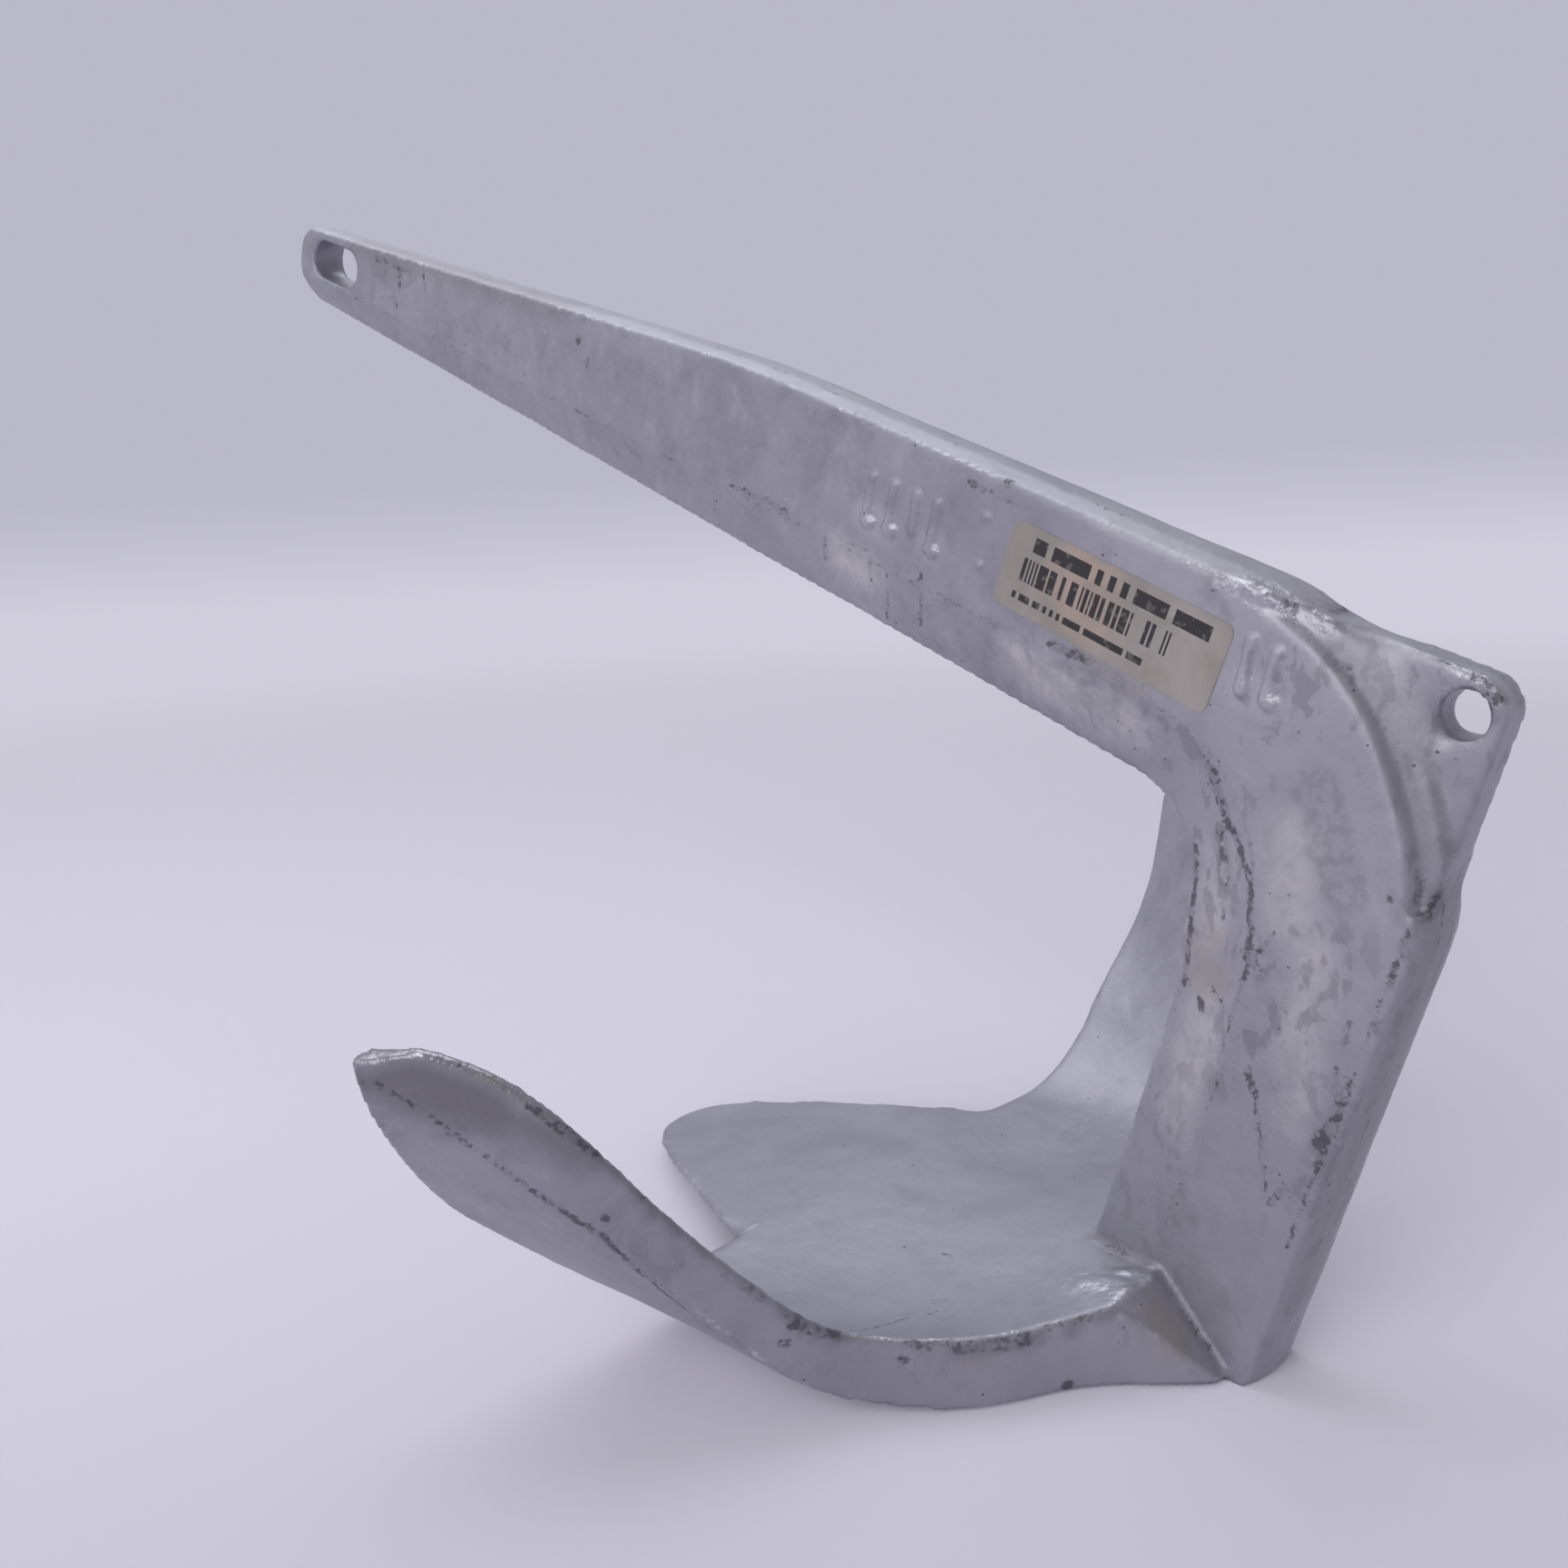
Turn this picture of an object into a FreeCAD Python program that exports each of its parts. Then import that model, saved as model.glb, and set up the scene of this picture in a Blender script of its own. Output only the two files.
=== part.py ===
import FreeCAD, Part
import math
import os

import Sketcher

# Claw anchor, about 10 kg: one galvanised steel casting and a paper sticker on its shank.
# +X runs from the shackle eye to the elbow, +Z is up, the anchor is symmetric about Y = 0 and
# stands on the plane Z = 0. The anchor is drawn with the trip-line hole at X = 0: sizes named
# "back" are measured from that hole towards the shackle eye, and heights from the ground.
# All sizes are in millimetres and degrees.

SIZES = {
    # trip-line hole and its corner lug
    "trip_height": 194.5, "trip_bore": 12.4, "lug_thickness": 12.4, "lug_margin": 12.7,
    "lug_rise": 6.8, "lug_corner_radius": 9.5, "lug_foot_back": 5.4, "lug_foot_height": 145.0,
    "lug_root_back": 62.0, "lug_root_height": 226.5,
    "strip_thickness": 18.6, "strip_inside": 4.6, "strip_outside": 2.6, "strip_draft": 20.0,
    # shackle eye, a slot along the shank
    "eye_back": 501.5, "eye_height": 357.2, "slot_length": 38.0, "slot_width": 16.0,
    "eye_margin": 11.5, "wall_above_eye": 3.3, "wall_below_eye": 10.3,
    "end_top_radius": 12.0, "end_chin_radius": 16.0, "shank_slope": 18.5,
    # side outline of the shank and arm
    "crest_back": 240.0, "crest_drop": 61.2, "crest_radius": 700.0,
    "shoulder_back": 21.5, "shoulder_height": 215.5, "shoulder_radius": 70.0,
    "hip_back": -0.6, "hip_height": 152.0, "hip_radius": 70.0, "heel_back": 48.6,
    "toe_back": 116.0, "knee_back": 80.5, "knee_height": 104.0, "knee_radius": 160.0,
    "elbow_back": 71.0, "elbow_height": 163.0, "elbow_radius": 28.0,
    # thickness of the shank and the slopes along its edges
    "arm_thickness": 27.0, "eye_thickness": 16.0, "taper_start_back": 30.0,
    "bevel_width": 25.0, "nose_width": 8.0, "crown_width": 9.0, "crown_drop": 2.2,
    # claw: front edge of the scoop, a path that climbs from the flat palm to the horn's tip
    "front_back": 204.0, "front_height": 9.0, "front_thickness": 7.5, "flat_half_width": 88.0,
    "first_bend_radius": 60.0, "horn_slope": 41.0, "horn_run": 50.0,
    "second_bend_radius": 70.0, "tip_slope": 74.0, "edge_bulge": 1.2,
    # claw: stations along that path. The lip is the front edge's height off the path, the
    # hollow is the inner face's depth, and rim and keel are the rear edge's top and bottom
    "centre_hollow": 4.0, "centre_rear_back": 58.5, "centre_rim": 22.0, "sole_keel": -8.9,
    "sole_keel_back": 54.0,
    "root_along": 13.5, "root_hollow": 4.0, "root_rear_back": 60.8, "root_rim": 21.3,
    "heel_along": 38.0, "heel_hollow": 5.0, "heel_rear_back": 78.4, "heel_rim": 16.8,
    "belly_along": 70.0, "belly_hollow": 5.0, "belly_rear_back": 98.5, "belly_rim": 13.8,
    "belly_keel": -8.4,
    "wrist_along": 100.0, "wrist_lip": 1.2, "wrist_hollow": 4.5,
    "wrist_rear_back": 121.0, "wrist_rim": 17.0, "wrist_keel_back": 125.0, "wrist_keel": -3.0,
    "bend_along": 128.0, "bend_lip": 2.9, "bend_hollow": 3.0,
    "bend_rear_back": 131.5, "bend_rim": 20.5, "bend_keel_back": 137.0, "bend_keel": 5.5,
    "joint_along": 165.0, "joint_lip": 2.6, "joint_hollow": 2.5,
    "joint_rear_back": 148.0, "joint_rim": 26.8, "joint_keel_back": 154.0, "joint_keel": 12.0,
    "finger_along": 195.0, "finger_lip": 2.8, "finger_hollow": 0.8,
    "finger_rear_back": 157.0, "finger_rim": 32.0, "finger_keel_back": 169.0,
    "finger_keel": 16.0,
    "knuckle_along": 220.0, "knuckle_lip": 0.4, "knuckle_hollow": 0.4,
    "knuckle_rear_back": 164.0, "knuckle_rim": 30.3, "knuckle_keel_back": 183.5,
    "knuckle_keel": 11.0,
    "nail_along": 238.0, "nail_lip": -1.8, "nail_hollow": 0.2,
    "nail_rear_back": 178.0, "nail_rim": 22.0, "nail_keel_back": 196.0, "nail_keel": 2.5,
    "tip_along": 248.0, "tip_lip": -0.4, "tip_hollow": 0.1,
    "tip_rear_back": 190.0, "tip_rim": 12.5, "tip_keel_back": 198.0, "tip_keel": 2.0,
    "tip_thinning": 1.5, "rim_lean": 1.6, "rim_width": 3.4,
    # claw: the central tongue
    "tongue_back": 306.0, "tongue_end_half_width": 15.0, "tongue_end_radius": 22.0,
    "tongue_shoulder_run": 23.0, "tongue_shoulder_half_width": 30.5,
    "tongue_shoulder_radius": 60.0, "notch_back": 203.2, "notch_half_width": 66.2,
    "notch_radius": 6.0,
    "notch_flank": 5.0, "tongue_tip_height": 9.0, "tongue_sole": 30.0,
    "tongue_inset": 16.0, "tongue_dip": 2.0, "tongue_step": 0.5,
    "tongue_edge": 2.2, "tongue_undercut": 48.0,
    # gusset facet between the rear edge and the arm
    "gusset_back": 80.5, "gusset_height": 28.7, "gusset_foot_back": 58.5,
    "gusset_foot_height": 4.0,
    # paper sticker
    "label_length": 76.0, "label_width": 25.5, "label_thickness": 0.3,
    "label_corner_radius": 3.0, "label_back": 95.5, "label_height": 216.7, "label_angle": 22.3,
}

doc = FreeCAD.newDocument("claw_anchor")
sheet = doc.addObject("Spreadsheet::Sheet", "Sizes")
for row, (alias, value) in enumerate(SIZES.items(), start=1):
    sheet.set("A%d" % row, alias)
    sheet.set("B%d" % row, str(value))
    sheet.setAlias("B%d" % row, alias)
doc.recompute()


def size(alias):
    return float(sheet.get(alias))


# Outlines made of straight runs and tangent arcs in the XZ plane

def unit(vector):
    return vector * (1.0 / vector.Length)


def left_of(direction):
    return FreeCAD.Vector(-direction.z, 0, direction.x)


def meet(point_a, dir_a, point_b, dir_b):
    across = dir_a.x * dir_b.z - dir_a.z * dir_b.x
    gap = point_b - point_a
    run = (gap.x * dir_b.z - gap.z * dir_b.x) / across
    return point_a + dir_a * run


def offset_path(points, radii, distance):
    """Shift an open path of points and corner radii to its left, keeping its arcs concentric."""
    dirs = [unit(b - a) for a, b in zip(points, points[1:])]
    moved = [points[0] + left_of(dirs[0]) * distance]
    moved_radii = [0.0]
    for corner, radius, before, after in zip(points[1:-1], radii[1:-1], dirs, dirs[1:]):
        a = corner + left_of(before) * distance
        b = corner + left_of(after) * distance
        moved.append(meet(a, before, b, after))
        turns_left = before.x * after.z - before.z * after.x > 0
        moved_radii.append(radius - distance if turns_left else radius + distance)
    moved.append(points[-1] + left_of(dirs[-1]) * distance)
    moved_radii.append(0.0)
    return moved, moved_radii


def rounded_edges(points, radii):
    """Edges of an open path whose corners are tangent arcs."""
    edges = []
    start = points[0]
    for i in range(1, len(points) - 1):
        before = unit(points[i] - points[i - 1])
        after = unit(points[i + 1] - points[i])
        half_turn = before.getAngle(after) / 2
        tangent = radii[i] * math.tan(half_turn)
        first = points[i] - before * tangent
        last = points[i] + after * tangent
        middle = points[i] + unit(after - before) * (radii[i] / math.cos(half_turn) - radii[i])
        edges.append(Part.LineSegment(start, first).toShape())
        edges.append(Part.Arc(first, middle, last).toShape())
        start = last
    edges.append(Part.LineSegment(start, points[-1]).toShape())
    return edges


def closed_wire(points, radii, closing):
    """A rounded path closed by straight runs through the closing points."""
    edges = rounded_edges(points, radii)
    corners = [points[-1]] + closing + [points[0]]
    for a, b in zip(corners, corners[1:]):
        edges.append(Part.LineSegment(a, b).toShape())
    return Part.Wire(edges)


def at(back, height):
    return FreeCAD.Vector(-back, 0, height)


slope = math.radians(size("shank_slope"))
ALONG = FreeCAD.Vector(math.cos(slope), 0, -math.sin(slope))
EYE = at(size("eye_back"), size("eye_height"))
END_CENTRE = EYE - ALONG * (size("slot_length") / 2 + size("eye_margin"))
END_TOP = END_CENTRE + left_of(ALONG) * (size("slot_width") / 2 + size("wall_above_eye"))
END_CHIN = END_CENTRE - left_of(ALONG) * (size("slot_width") / 2 + size("wall_below_eye"))
CREST = at(size("crest_back"), size("eye_height") - size("crest_drop"))
SHOULDER = at(size("shoulder_back"), size("shoulder_height"))
HIP = at(size("hip_back"), size("hip_height"))
HEEL = at(size("heel_back"), 0)
TOE = at(size("toe_back"), 0)
KNEE = at(size("knee_back"), size("knee_height"))
ELBOW = at(size("elbow_back"), size("elbow_height"))


# Shank and arm: a plate of the side outline, with each corner bound to the sheet

END_RUN = "(Sizes.slot_length / 2 + Sizes.eye_margin)"
ABOVE = "(Sizes.slot_width / 2 + Sizes.wall_above_eye)"
BELOW = "(Sizes.slot_width / 2 + Sizes.wall_below_eye)"
SINE = "sin(Sizes.shank_slope * 1 deg)"
COSINE = "cos(Sizes.shank_slope * 1 deg)"
END_X = "-Sizes.eye_back - %s * %s" % (END_RUN, COSINE)
END_Z = "Sizes.eye_height + %s * %s" % (END_RUN, SINE)
SIDE_CORNERS = [
    (END_TOP, END_X + " + %s * %s" % (ABOVE, SINE), END_Z + " + %s * %s" % (ABOVE, COSINE),
     "end_top_radius"),
    (CREST, "-Sizes.crest_back", "Sizes.eye_height - Sizes.crest_drop", "crest_radius"),
    (SHOULDER, "-Sizes.shoulder_back", "Sizes.shoulder_height", "shoulder_radius"),
    (HIP, "-Sizes.hip_back", "Sizes.hip_height", "hip_radius"),
    (HEEL, "-Sizes.heel_back", "0", None),
    (TOE, "-Sizes.toe_back", "0", None),
    (KNEE, "-Sizes.knee_back", "Sizes.knee_height", "knee_radius"),
    (ELBOW, "-Sizes.elbow_back", "Sizes.elbow_height", "elbow_radius"),
    (END_CHIN, END_X + " - %s * %s" % (BELOW, SINE), END_Z + " - %s * %s" % (BELOW, COSINE),
     "end_chin_radius"),
]
SIDE = "XZ_Plane"
PLAN = "XY_Plane"


def new_sketch(body, name, role):
    sketch = body.newObject("Sketcher::SketchObject", name)
    plane = next(f for f in body.Origin.OriginFeatures if f.Role == role)
    sketch.AttachmentSupport = [(plane, "")]
    sketch.MapMode = "FlatFace"
    return sketch


def constrain(sketch, kind, *values):
    return sketch.addConstraint(Sketcher.Constraint(kind, *values))


def bind(sketch, kind, geometry, values, text):
    """A dimension of the sketch that follows the sheet."""
    index = constrain(sketch, kind, geometry, *values)
    sketch.setExpression("Constraints[%d]" % index, text)


def rounded_outline(body, name, role, corners):
    """A closed outline with tangent arcs at its corners, all bound to the sheet."""
    sketch = new_sketch(body, name, role)
    flat = [FreeCAD.Vector(p.x, p.z if role == SIDE else p.y, 0) for p, *_ in corners]
    radii = [size(alias) if alias else 0.0 for *_, alias in corners]
    count = len(flat)
    firsts, lasts = [], []
    for i in range(count):
        before = unit(flat[i] - flat[i - 1])
        after = unit(flat[(i + 1) % count] - flat[i])
        tangent = radii[i] * math.tan(before.getAngle(after) / 2)
        firsts.append(flat[i] - before * tangent)
        lasts.append(flat[i] + after * tangent)
    for i in range(count):
        sketch.addGeometry(Part.LineSegment(lasts[i], firsts[(i + 1) % count]), False)
    for i, (_, u_text, v_text, alias) in enumerate(corners):
        before_line, after_line = (i - 1) % count, i
        if alias is None:
            constrain(sketch, "Coincident", before_line, 2, after_line, 1)
            bind(sketch, "DistanceX", after_line, (1, flat[i].x), u_text)
            bind(sketch, "DistanceY", after_line, (1, flat[i].y), v_text)
            continue
        before = unit(flat[i] - flat[i - 1])
        after = unit(flat[(i + 1) % count] - flat[i])
        half_turn = before.getAngle(after) / 2
        bulge = radii[i] / math.cos(half_turn) - radii[i]
        middle = flat[i] + unit(after - before) * bulge
        arc = sketch.addGeometry(Part.Arc(firsts[i], middle, lasts[i]), False)
        start, end = (1, 2) if before.x * after.y - before.y * after.x > 0 else (2, 1)
        constrain(sketch, "Tangent", before_line, 2, arc, start)
        constrain(sketch, "Tangent", arc, end, after_line, 1)
        bind(sketch, "Radius", arc, (radii[i],), "Sizes." + alias)
        corner = sketch.addGeometry(Part.Point(flat[i]), True)
        constrain(sketch, "PointOnObject", corner, 1, before_line)
        constrain(sketch, "PointOnObject", corner, 1, after_line)
        bind(sketch, "DistanceX", corner, (1, flat[i].x), u_text)
        bind(sketch, "DistanceY", corner, (1, flat[i].y), v_text)
    return sketch


def plate(name, role, corners, thickness_text):
    """A body of even thickness about the outline's plane."""
    body = doc.addObject("PartDesign::Body", name)
    pad = body.newObject("PartDesign::Pad", name + "Pad")
    pad.Profile = rounded_outline(body, name + "Outline", role, corners)
    pad.Midplane = True
    pad.setExpression("Length", thickness_text)
    return body


shank_plate = plate("ShankPlate", SIDE, SIDE_CORNERS, "Sizes.arm_thickness")


# Corner lug: a thinner plate that carries the trip-line hole

LUG_CORNERS = [
    (at(size("lug_root_back"), size("lug_foot_height")), "-Sizes.lug_root_back",
     "Sizes.lug_foot_height", None),
    (at(size("lug_foot_back"), size("lug_foot_height")), "-Sizes.lug_foot_back",
     "Sizes.lug_foot_height", None),
    (at(-size("lug_margin"), size("trip_height") + size("lug_rise")), "Sizes.lug_margin",
     "Sizes.trip_height + Sizes.lug_rise", "lug_corner_radius"),
    (at(size("lug_root_back"), size("lug_root_height")), "-Sizes.lug_root_back",
     "Sizes.lug_root_height", None),
]
lug_plate = plate("LugPlate", SIDE, LUG_CORNERS, "Sizes.lug_thickness")
doc.recompute()


# Cutters that shape the edges of the shank, each running well past what it trims

REACH = 2 * size("arm_thickness")


def extended(points):
    """The same path with both end runs lengthened past the plate."""
    first = points[0] + unit(points[0] - points[1]) * REACH
    last = points[-1] + unit(points[-1] - points[-2]) * REACH
    return [first] + points[1:-1] + [last]


def sloped_cutter(name, points, radii, closing, near, far):
    """A pair of mirrored cutters; near and far are (depth in Y, shift of the path) pairs."""
    path = extended(points)
    wires = []
    for depth, shift in (near, far):
        moved, moved_radii = offset_path(path, radii, shift)
        wire = closed_wire(moved, moved_radii, closing)
        wire.translate(FreeCAD.Vector(0, -depth, 0))
        wires.append(wire)
    one = Part.makeLoft(wires, True, True)
    other = one.mirror(FreeCAD.Vector(0, 0, 0), FreeCAD.Vector(0, 1, 0))
    tool = doc.addObject("Part::Feature", name)
    tool.Shape = Part.makeCompound([one, other])
    return tool


half_arm = size("arm_thickness") / 2
half_nose = size("nose_width") / 2
overshoot = 2.0

INNER = [TOE, KNEE, ELBOW, END_CHIN]
INNER_RADII = [0, size("knee_radius"), size("elbow_radius"), 0]
throat_corner = FreeCAD.Vector(extended(INNER)[-1].x, 0, extended(INNER)[0].z)
bevel_rate = size("bevel_width") / (half_arm - half_nose)
bevel_tool = sloped_cutter(
    "InnerBevelTool", INNER, INNER_RADII, [throat_corner], (half_nose, 0.0),
    (half_arm + overshoot, -bevel_rate * (half_arm - half_nose + overshoot)))

OUTER = [END_TOP, CREST, SHOULDER, HIP, HEEL]
OUTER_RADII = [0, size("crest_radius"), size("shoulder_radius"), size("hip_radius"), 0]
outer_path = extended(OUTER)
beyond = 2 * REACH
outer_closing = [
    FreeCAD.Vector(outer_path[-1].x + beyond, 0, outer_path[-1].z),
    FreeCAD.Vector(outer_path[-1].x + beyond, 0, outer_path[0].z + beyond),
    FreeCAD.Vector(outer_path[0].x, 0, outer_path[0].z + beyond),
]
crown_rate = size("crown_drop") / size("crown_width")
crown_tool = sloped_cutter(
    "CrownBevelTool", OUTER, OUTER_RADII, outer_closing, (half_arm - size("crown_width"), 0.0),
    (half_arm + overshoot, -crown_rate * (size("crown_width") + overshoot)))


def taper_cutter():
    """Wedges that thin both sides of the shank towards the shackle eye."""
    rate = (size("arm_thickness") - size("eye_thickness")) / 2
    rate /= size("eye_back") - size("taper_start_back")
    far_back = size("eye_back") + REACH
    start = FreeCAD.Vector(-size("taper_start_back"), -half_arm, 0)
    thin = FreeCAD.Vector(-far_back, -half_arm + rate * (far_back - size("taper_start_back")), 0)
    outside = FreeCAD.Vector(-far_back, -half_arm - overshoot, 0)
    beside = FreeCAD.Vector(-size("taper_start_back"), -half_arm - overshoot, 0)
    face = Part.Face(Part.makePolygon([start, thin, outside, beside, start]))
    one = face.extrude(FreeCAD.Vector(0, 0, size("eye_height") + REACH))
    other = one.mirror(FreeCAD.Vector(0, 0, 0), FreeCAD.Vector(0, 1, 0))
    tool = doc.addObject("Part::Feature", "TaperTool")
    tool.Shape = Part.makeCompound([one, other])
    return tool


taper_tool = taper_cutter()


def cut(name, base, tool):
    result = doc.addObject("Part::Cut", name)
    result.Base = base
    result.Tool = tool
    return result


tapered = cut("TaperedShank", shank_plate, taper_tool)
bevelled = cut("BevelledShank", tapered, bevel_tool)
crowned = cut("CrownedShank", bevelled, crown_tool)


# Strip beside the lug: a step between the arm's full thickness and the thinner lug

half_strip = size("strip_thickness") / 2
half_lug = size("lug_thickness") / 2
draft = math.tan(math.radians(size("strip_draft")))
step_tool = sloped_cutter(
    "StepTool", OUTER, OUTER_RADII, outer_closing, (half_strip, -size("strip_inside")),
    (half_arm + overshoot, -size("strip_inside") - draft * (half_arm + overshoot - half_strip)))
lug_zone = plate("LugZone", SIDE, LUG_CORNERS, "2 * Sizes.arm_thickness")
zone_step = doc.addObject("Part::MultiCommon", "ZoneStep")
zone_step.Shapes = [step_tool, lug_zone]
stepped = cut("SteppedShank", crowned, zone_step)
strip_plate = plate("StripPlate", SIDE, LUG_CORNERS, "Sizes.strip_thickness")
strip_tool = sloped_cutter(
    "StripTool", OUTER, OUTER_RADII, outer_closing, (half_lug, size("strip_outside")),
    (half_strip + overshoot, size("strip_outside") - draft * (half_strip + overshoot - half_lug)))
strip = cut("Strip", strip_plate, strip_tool)


# Claw: half of the scoop is a loft through stations along the front edge's path

def front_path(along):
    """Y, Z and slope angle of the scoop's front edge at a distance from the mid-plane."""
    first_angle = math.radians(size("horn_slope"))
    second_angle = math.radians(size("tip_slope"))
    first_arc = size("first_bend_radius") * first_angle
    second_arc = size("second_bend_radius") * (second_angle - first_angle)
    y, z, angle = 0.0, size("front_height"), 0.0
    runs = [
        (size("flat_half_width"), 0.0, None),
        (first_arc, 0.0, size("first_bend_radius")),
        (size("horn_run"), first_angle, None),
        (second_arc, first_angle, size("second_bend_radius")),
        (math.inf, second_angle, None),
    ]
    for length, angle, radius in runs:
        step = min(along, length)
        if radius is None:
            y += step * math.cos(angle)
            z += step * math.sin(angle)
        else:
            end = angle + step / radius
            y += radius * (math.sin(end) - math.sin(angle))
            z += radius * (math.cos(angle) - math.cos(end))
            angle = end
        along -= step
        if along <= 0:
            break
    return y, z, angle


def scoop_stations():
    """Rows of: distance along the path, front lip, hollow, rear edge back, rim, keel back, keel."""
    rows = []
    for name, keel_back, keel in [("centre", "sole_keel_back", "sole_keel"),
                                  ("root", "sole_keel_back", "sole_keel"),
                                  ("heel", "heel_rear_back", "sole_keel"),
                                  ("belly", "belly_rear_back", "belly_keel")]:
        along = size(name + "_along") if name != "centre" else 0.0
        rows.append((along, 0.0, size(name + "_hollow"), size(name + "_rear_back"),
                     size(name + "_rim"), size(keel_back), size(keel)))
    for name in ["wrist", "bend", "joint", "finger", "knuckle", "nail", "tip"]:
        rows.append((size(name + "_along"), size(name + "_lip"), size(name + "_hollow"),
                     size(name + "_rear_back"), size(name + "_rim"), size(name + "_keel_back"),
                     size(name + "_keel")))
    return rows


def scoop_section(row, along_share):
    """Section of the scoop as distances back and off the path, in four groups of points."""
    _, lip, hollow, rear_back, rim, keel_back, keel = row
    front = size("front_back")
    top = size("front_thickness") - size("tip_thinning") * along_share ** 2
    rim_back = rear_back - size("rim_lean")
    rim_foot = rim - size("rim_width")
    nose = (front + size("edge_bulge"), (lip + top) / 2)
    middle = ((front + rear_back) / 2, (top + rim) / 2 - hollow)
    rim_middle = ((rear_back + rim_back) / 2 - size("edge_bulge"), (rim + rim_foot) / 2)
    return [(front, lip), nose, (front, top), middle, (rear_back, rim), rim_middle,
            (rim_back, rim_foot), (keel_back, keel)]


def long_edge(points, alongs):
    """A smooth edge from horn tip to horn tip through one point of each section."""
    curve = Part.BSplineCurve()
    curve.interpolate(Points=points, Parameters=alongs)
    return curve.toShape()


def scoop_solid():
    """Long edges run from horn tip to horn tip, with smooth faces over the nose, hollow and rim."""
    rows = scoop_stations()
    last = rows[-1][0]
    signed = [(-1, row) for row in reversed(rows[1:])] + [(1, row) for row in rows]
    alongs = [sign * row[0] for sign, row in signed]
    sections = []
    for sign, row in signed:
        y, z, angle = front_path(row[0])
        sections.append([FreeCAD.Vector(-back, -sign * (y - off * math.sin(angle)),
                                        z + off * math.cos(angle))
                         for back, off in scoop_section(row, row[0] / last)])
    edges = [long_edge(list(points), alongs) for points in zip(*sections)]
    groups = [edges[0:3], edges[2:5], edges[4:7], edges[6:8], [edges[7], edges[0]]]
    faces = []
    for group in groups:
        faces += Part.makeLoft([Part.Wire([edge]) for edge in group], False, False).Faces
    for side in (1, -1):
        ends = [edge for face in faces for edge in face.Edges
                if edge.CenterOfMass.y * side > size("flat_half_width")]
        faces.append(Part.Face(Part.Wire(Part.__sortEdges__(ends))))
    shell = Part.makeShell(faces)
    shell.sewShape()
    return Part.makeSolid(shell)


def gusset_cutters():
    """Blocks beyond the flat facet between the rear edge and each side of the arm."""
    rear = FreeCAD.Vector(-size("heel_rear_back"), size("heel_along"),
                          size("front_height") + size("heel_rim"))
    top = FreeCAD.Vector(-size("gusset_back"), size("root_along"), size("gusset_height"))
    foot = FreeCAD.Vector(-size("gusset_foot_back"), size("root_along"),
                          size("gusset_foot_height"))
    inward = top - rear
    down = foot - top
    to_middle = size("heel_along") / (size("heel_along") - size("root_along"))
    corners = [rear - inward - down, rear + inward * to_middle - down,
               rear + inward * to_middle + down * 2, rear - inward + down * 2]
    face = Part.Face(Part.makePolygon(corners + corners[:1]))
    one = face.extrude(unit(inward.cross(down)) * REACH)
    return [one, one.mirror(FreeCAD.Vector(0, 0, 0), FreeCAD.Vector(0, 1, 0))]


def shaped_scoop():
    return scoop_solid().cut(gusset_cutters())


scoop = doc.addObject("Part::Feature", "Scoop")
scoop.Shape = shaped_scoop()


# Tongue: a flat point in the middle of the scoop, sloping down to the ground

TONGUE_SIDE = [
    (at(size("tongue_back"), 0), "-Sizes.tongue_back", "0", None),
    (at(size("tongue_back") - size("tongue_sole"), 0), "-Sizes.tongue_back + Sizes.tongue_sole",
     "0", None),
    (at(size("front_back"), size("front_height") + size("tongue_step")), "-Sizes.front_back",
     "Sizes.front_height + Sizes.tongue_step", None),
    (at(size("front_back") - size("tongue_inset"), size("front_height") + size("tongue_dip")),
     "-Sizes.front_back + Sizes.tongue_inset", "Sizes.front_height + Sizes.tongue_dip", None),
    (at(size("front_back") - size("tongue_inset"),
        size("front_height") + size("front_thickness") - size("tongue_dip")),
     "-Sizes.front_back + Sizes.tongue_inset",
     "Sizes.front_height + Sizes.front_thickness - Sizes.tongue_dip", None),
    (at(size("front_back"), size("front_height") + size("front_thickness")
        - size("tongue_step")), "-Sizes.front_back",
     "Sizes.front_height + Sizes.front_thickness - Sizes.tongue_step", None),
    (at(size("tongue_back"), size("tongue_tip_height")), "-Sizes.tongue_back",
     "Sizes.tongue_tip_height", None),
]


def beside(back, half_width):
    return FreeCAD.Vector(-back, half_width, 0)


NOTCH_OUT = "Sizes.notch_half_width + Sizes.notch_flank"
HALF_PLAN = [
    (beside(size("tongue_back"), size("tongue_end_half_width")), "-Sizes.tongue_back",
     "Sizes.tongue_end_half_width", "tongue_end_radius"),
    (beside(size("tongue_back") - size("tongue_shoulder_run"),
            size("tongue_shoulder_half_width")),
     "-Sizes.tongue_back + Sizes.tongue_shoulder_run", "Sizes.tongue_shoulder_half_width",
     "tongue_shoulder_radius"),
    (beside(size("notch_back"), size("notch_half_width")), "-Sizes.notch_back",
     "Sizes.notch_half_width", "notch_radius"),
    (beside(size("notch_back"), size("notch_half_width") + size("notch_flank")),
     "-Sizes.notch_back", NOTCH_OUT, None),
    (beside(size("front_back") - size("tongue_inset"),
            size("notch_half_width") + size("notch_flank")),
     "-Sizes.front_back + Sizes.tongue_inset", NOTCH_OUT, None),
]
OTHER_HALF = [(FreeCAD.Vector(p.x, -p.y, 0), u_text, "-(%s)" % v_text, alias)
              for p, u_text, v_text, alias in reversed(HALF_PLAN)]
side_slab = plate("TongueSlab", SIDE, TONGUE_SIDE, "4 * Sizes.notch_half_width")
plan_slab = plate("TonguePlan", PLAN, HALF_PLAN + OTHER_HALF, "4 * Sizes.front_height")
flat_tongue = doc.addObject("Part::MultiCommon", "FlatTongue")
flat_tongue.Shapes = [side_slab, plan_slab]


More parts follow.
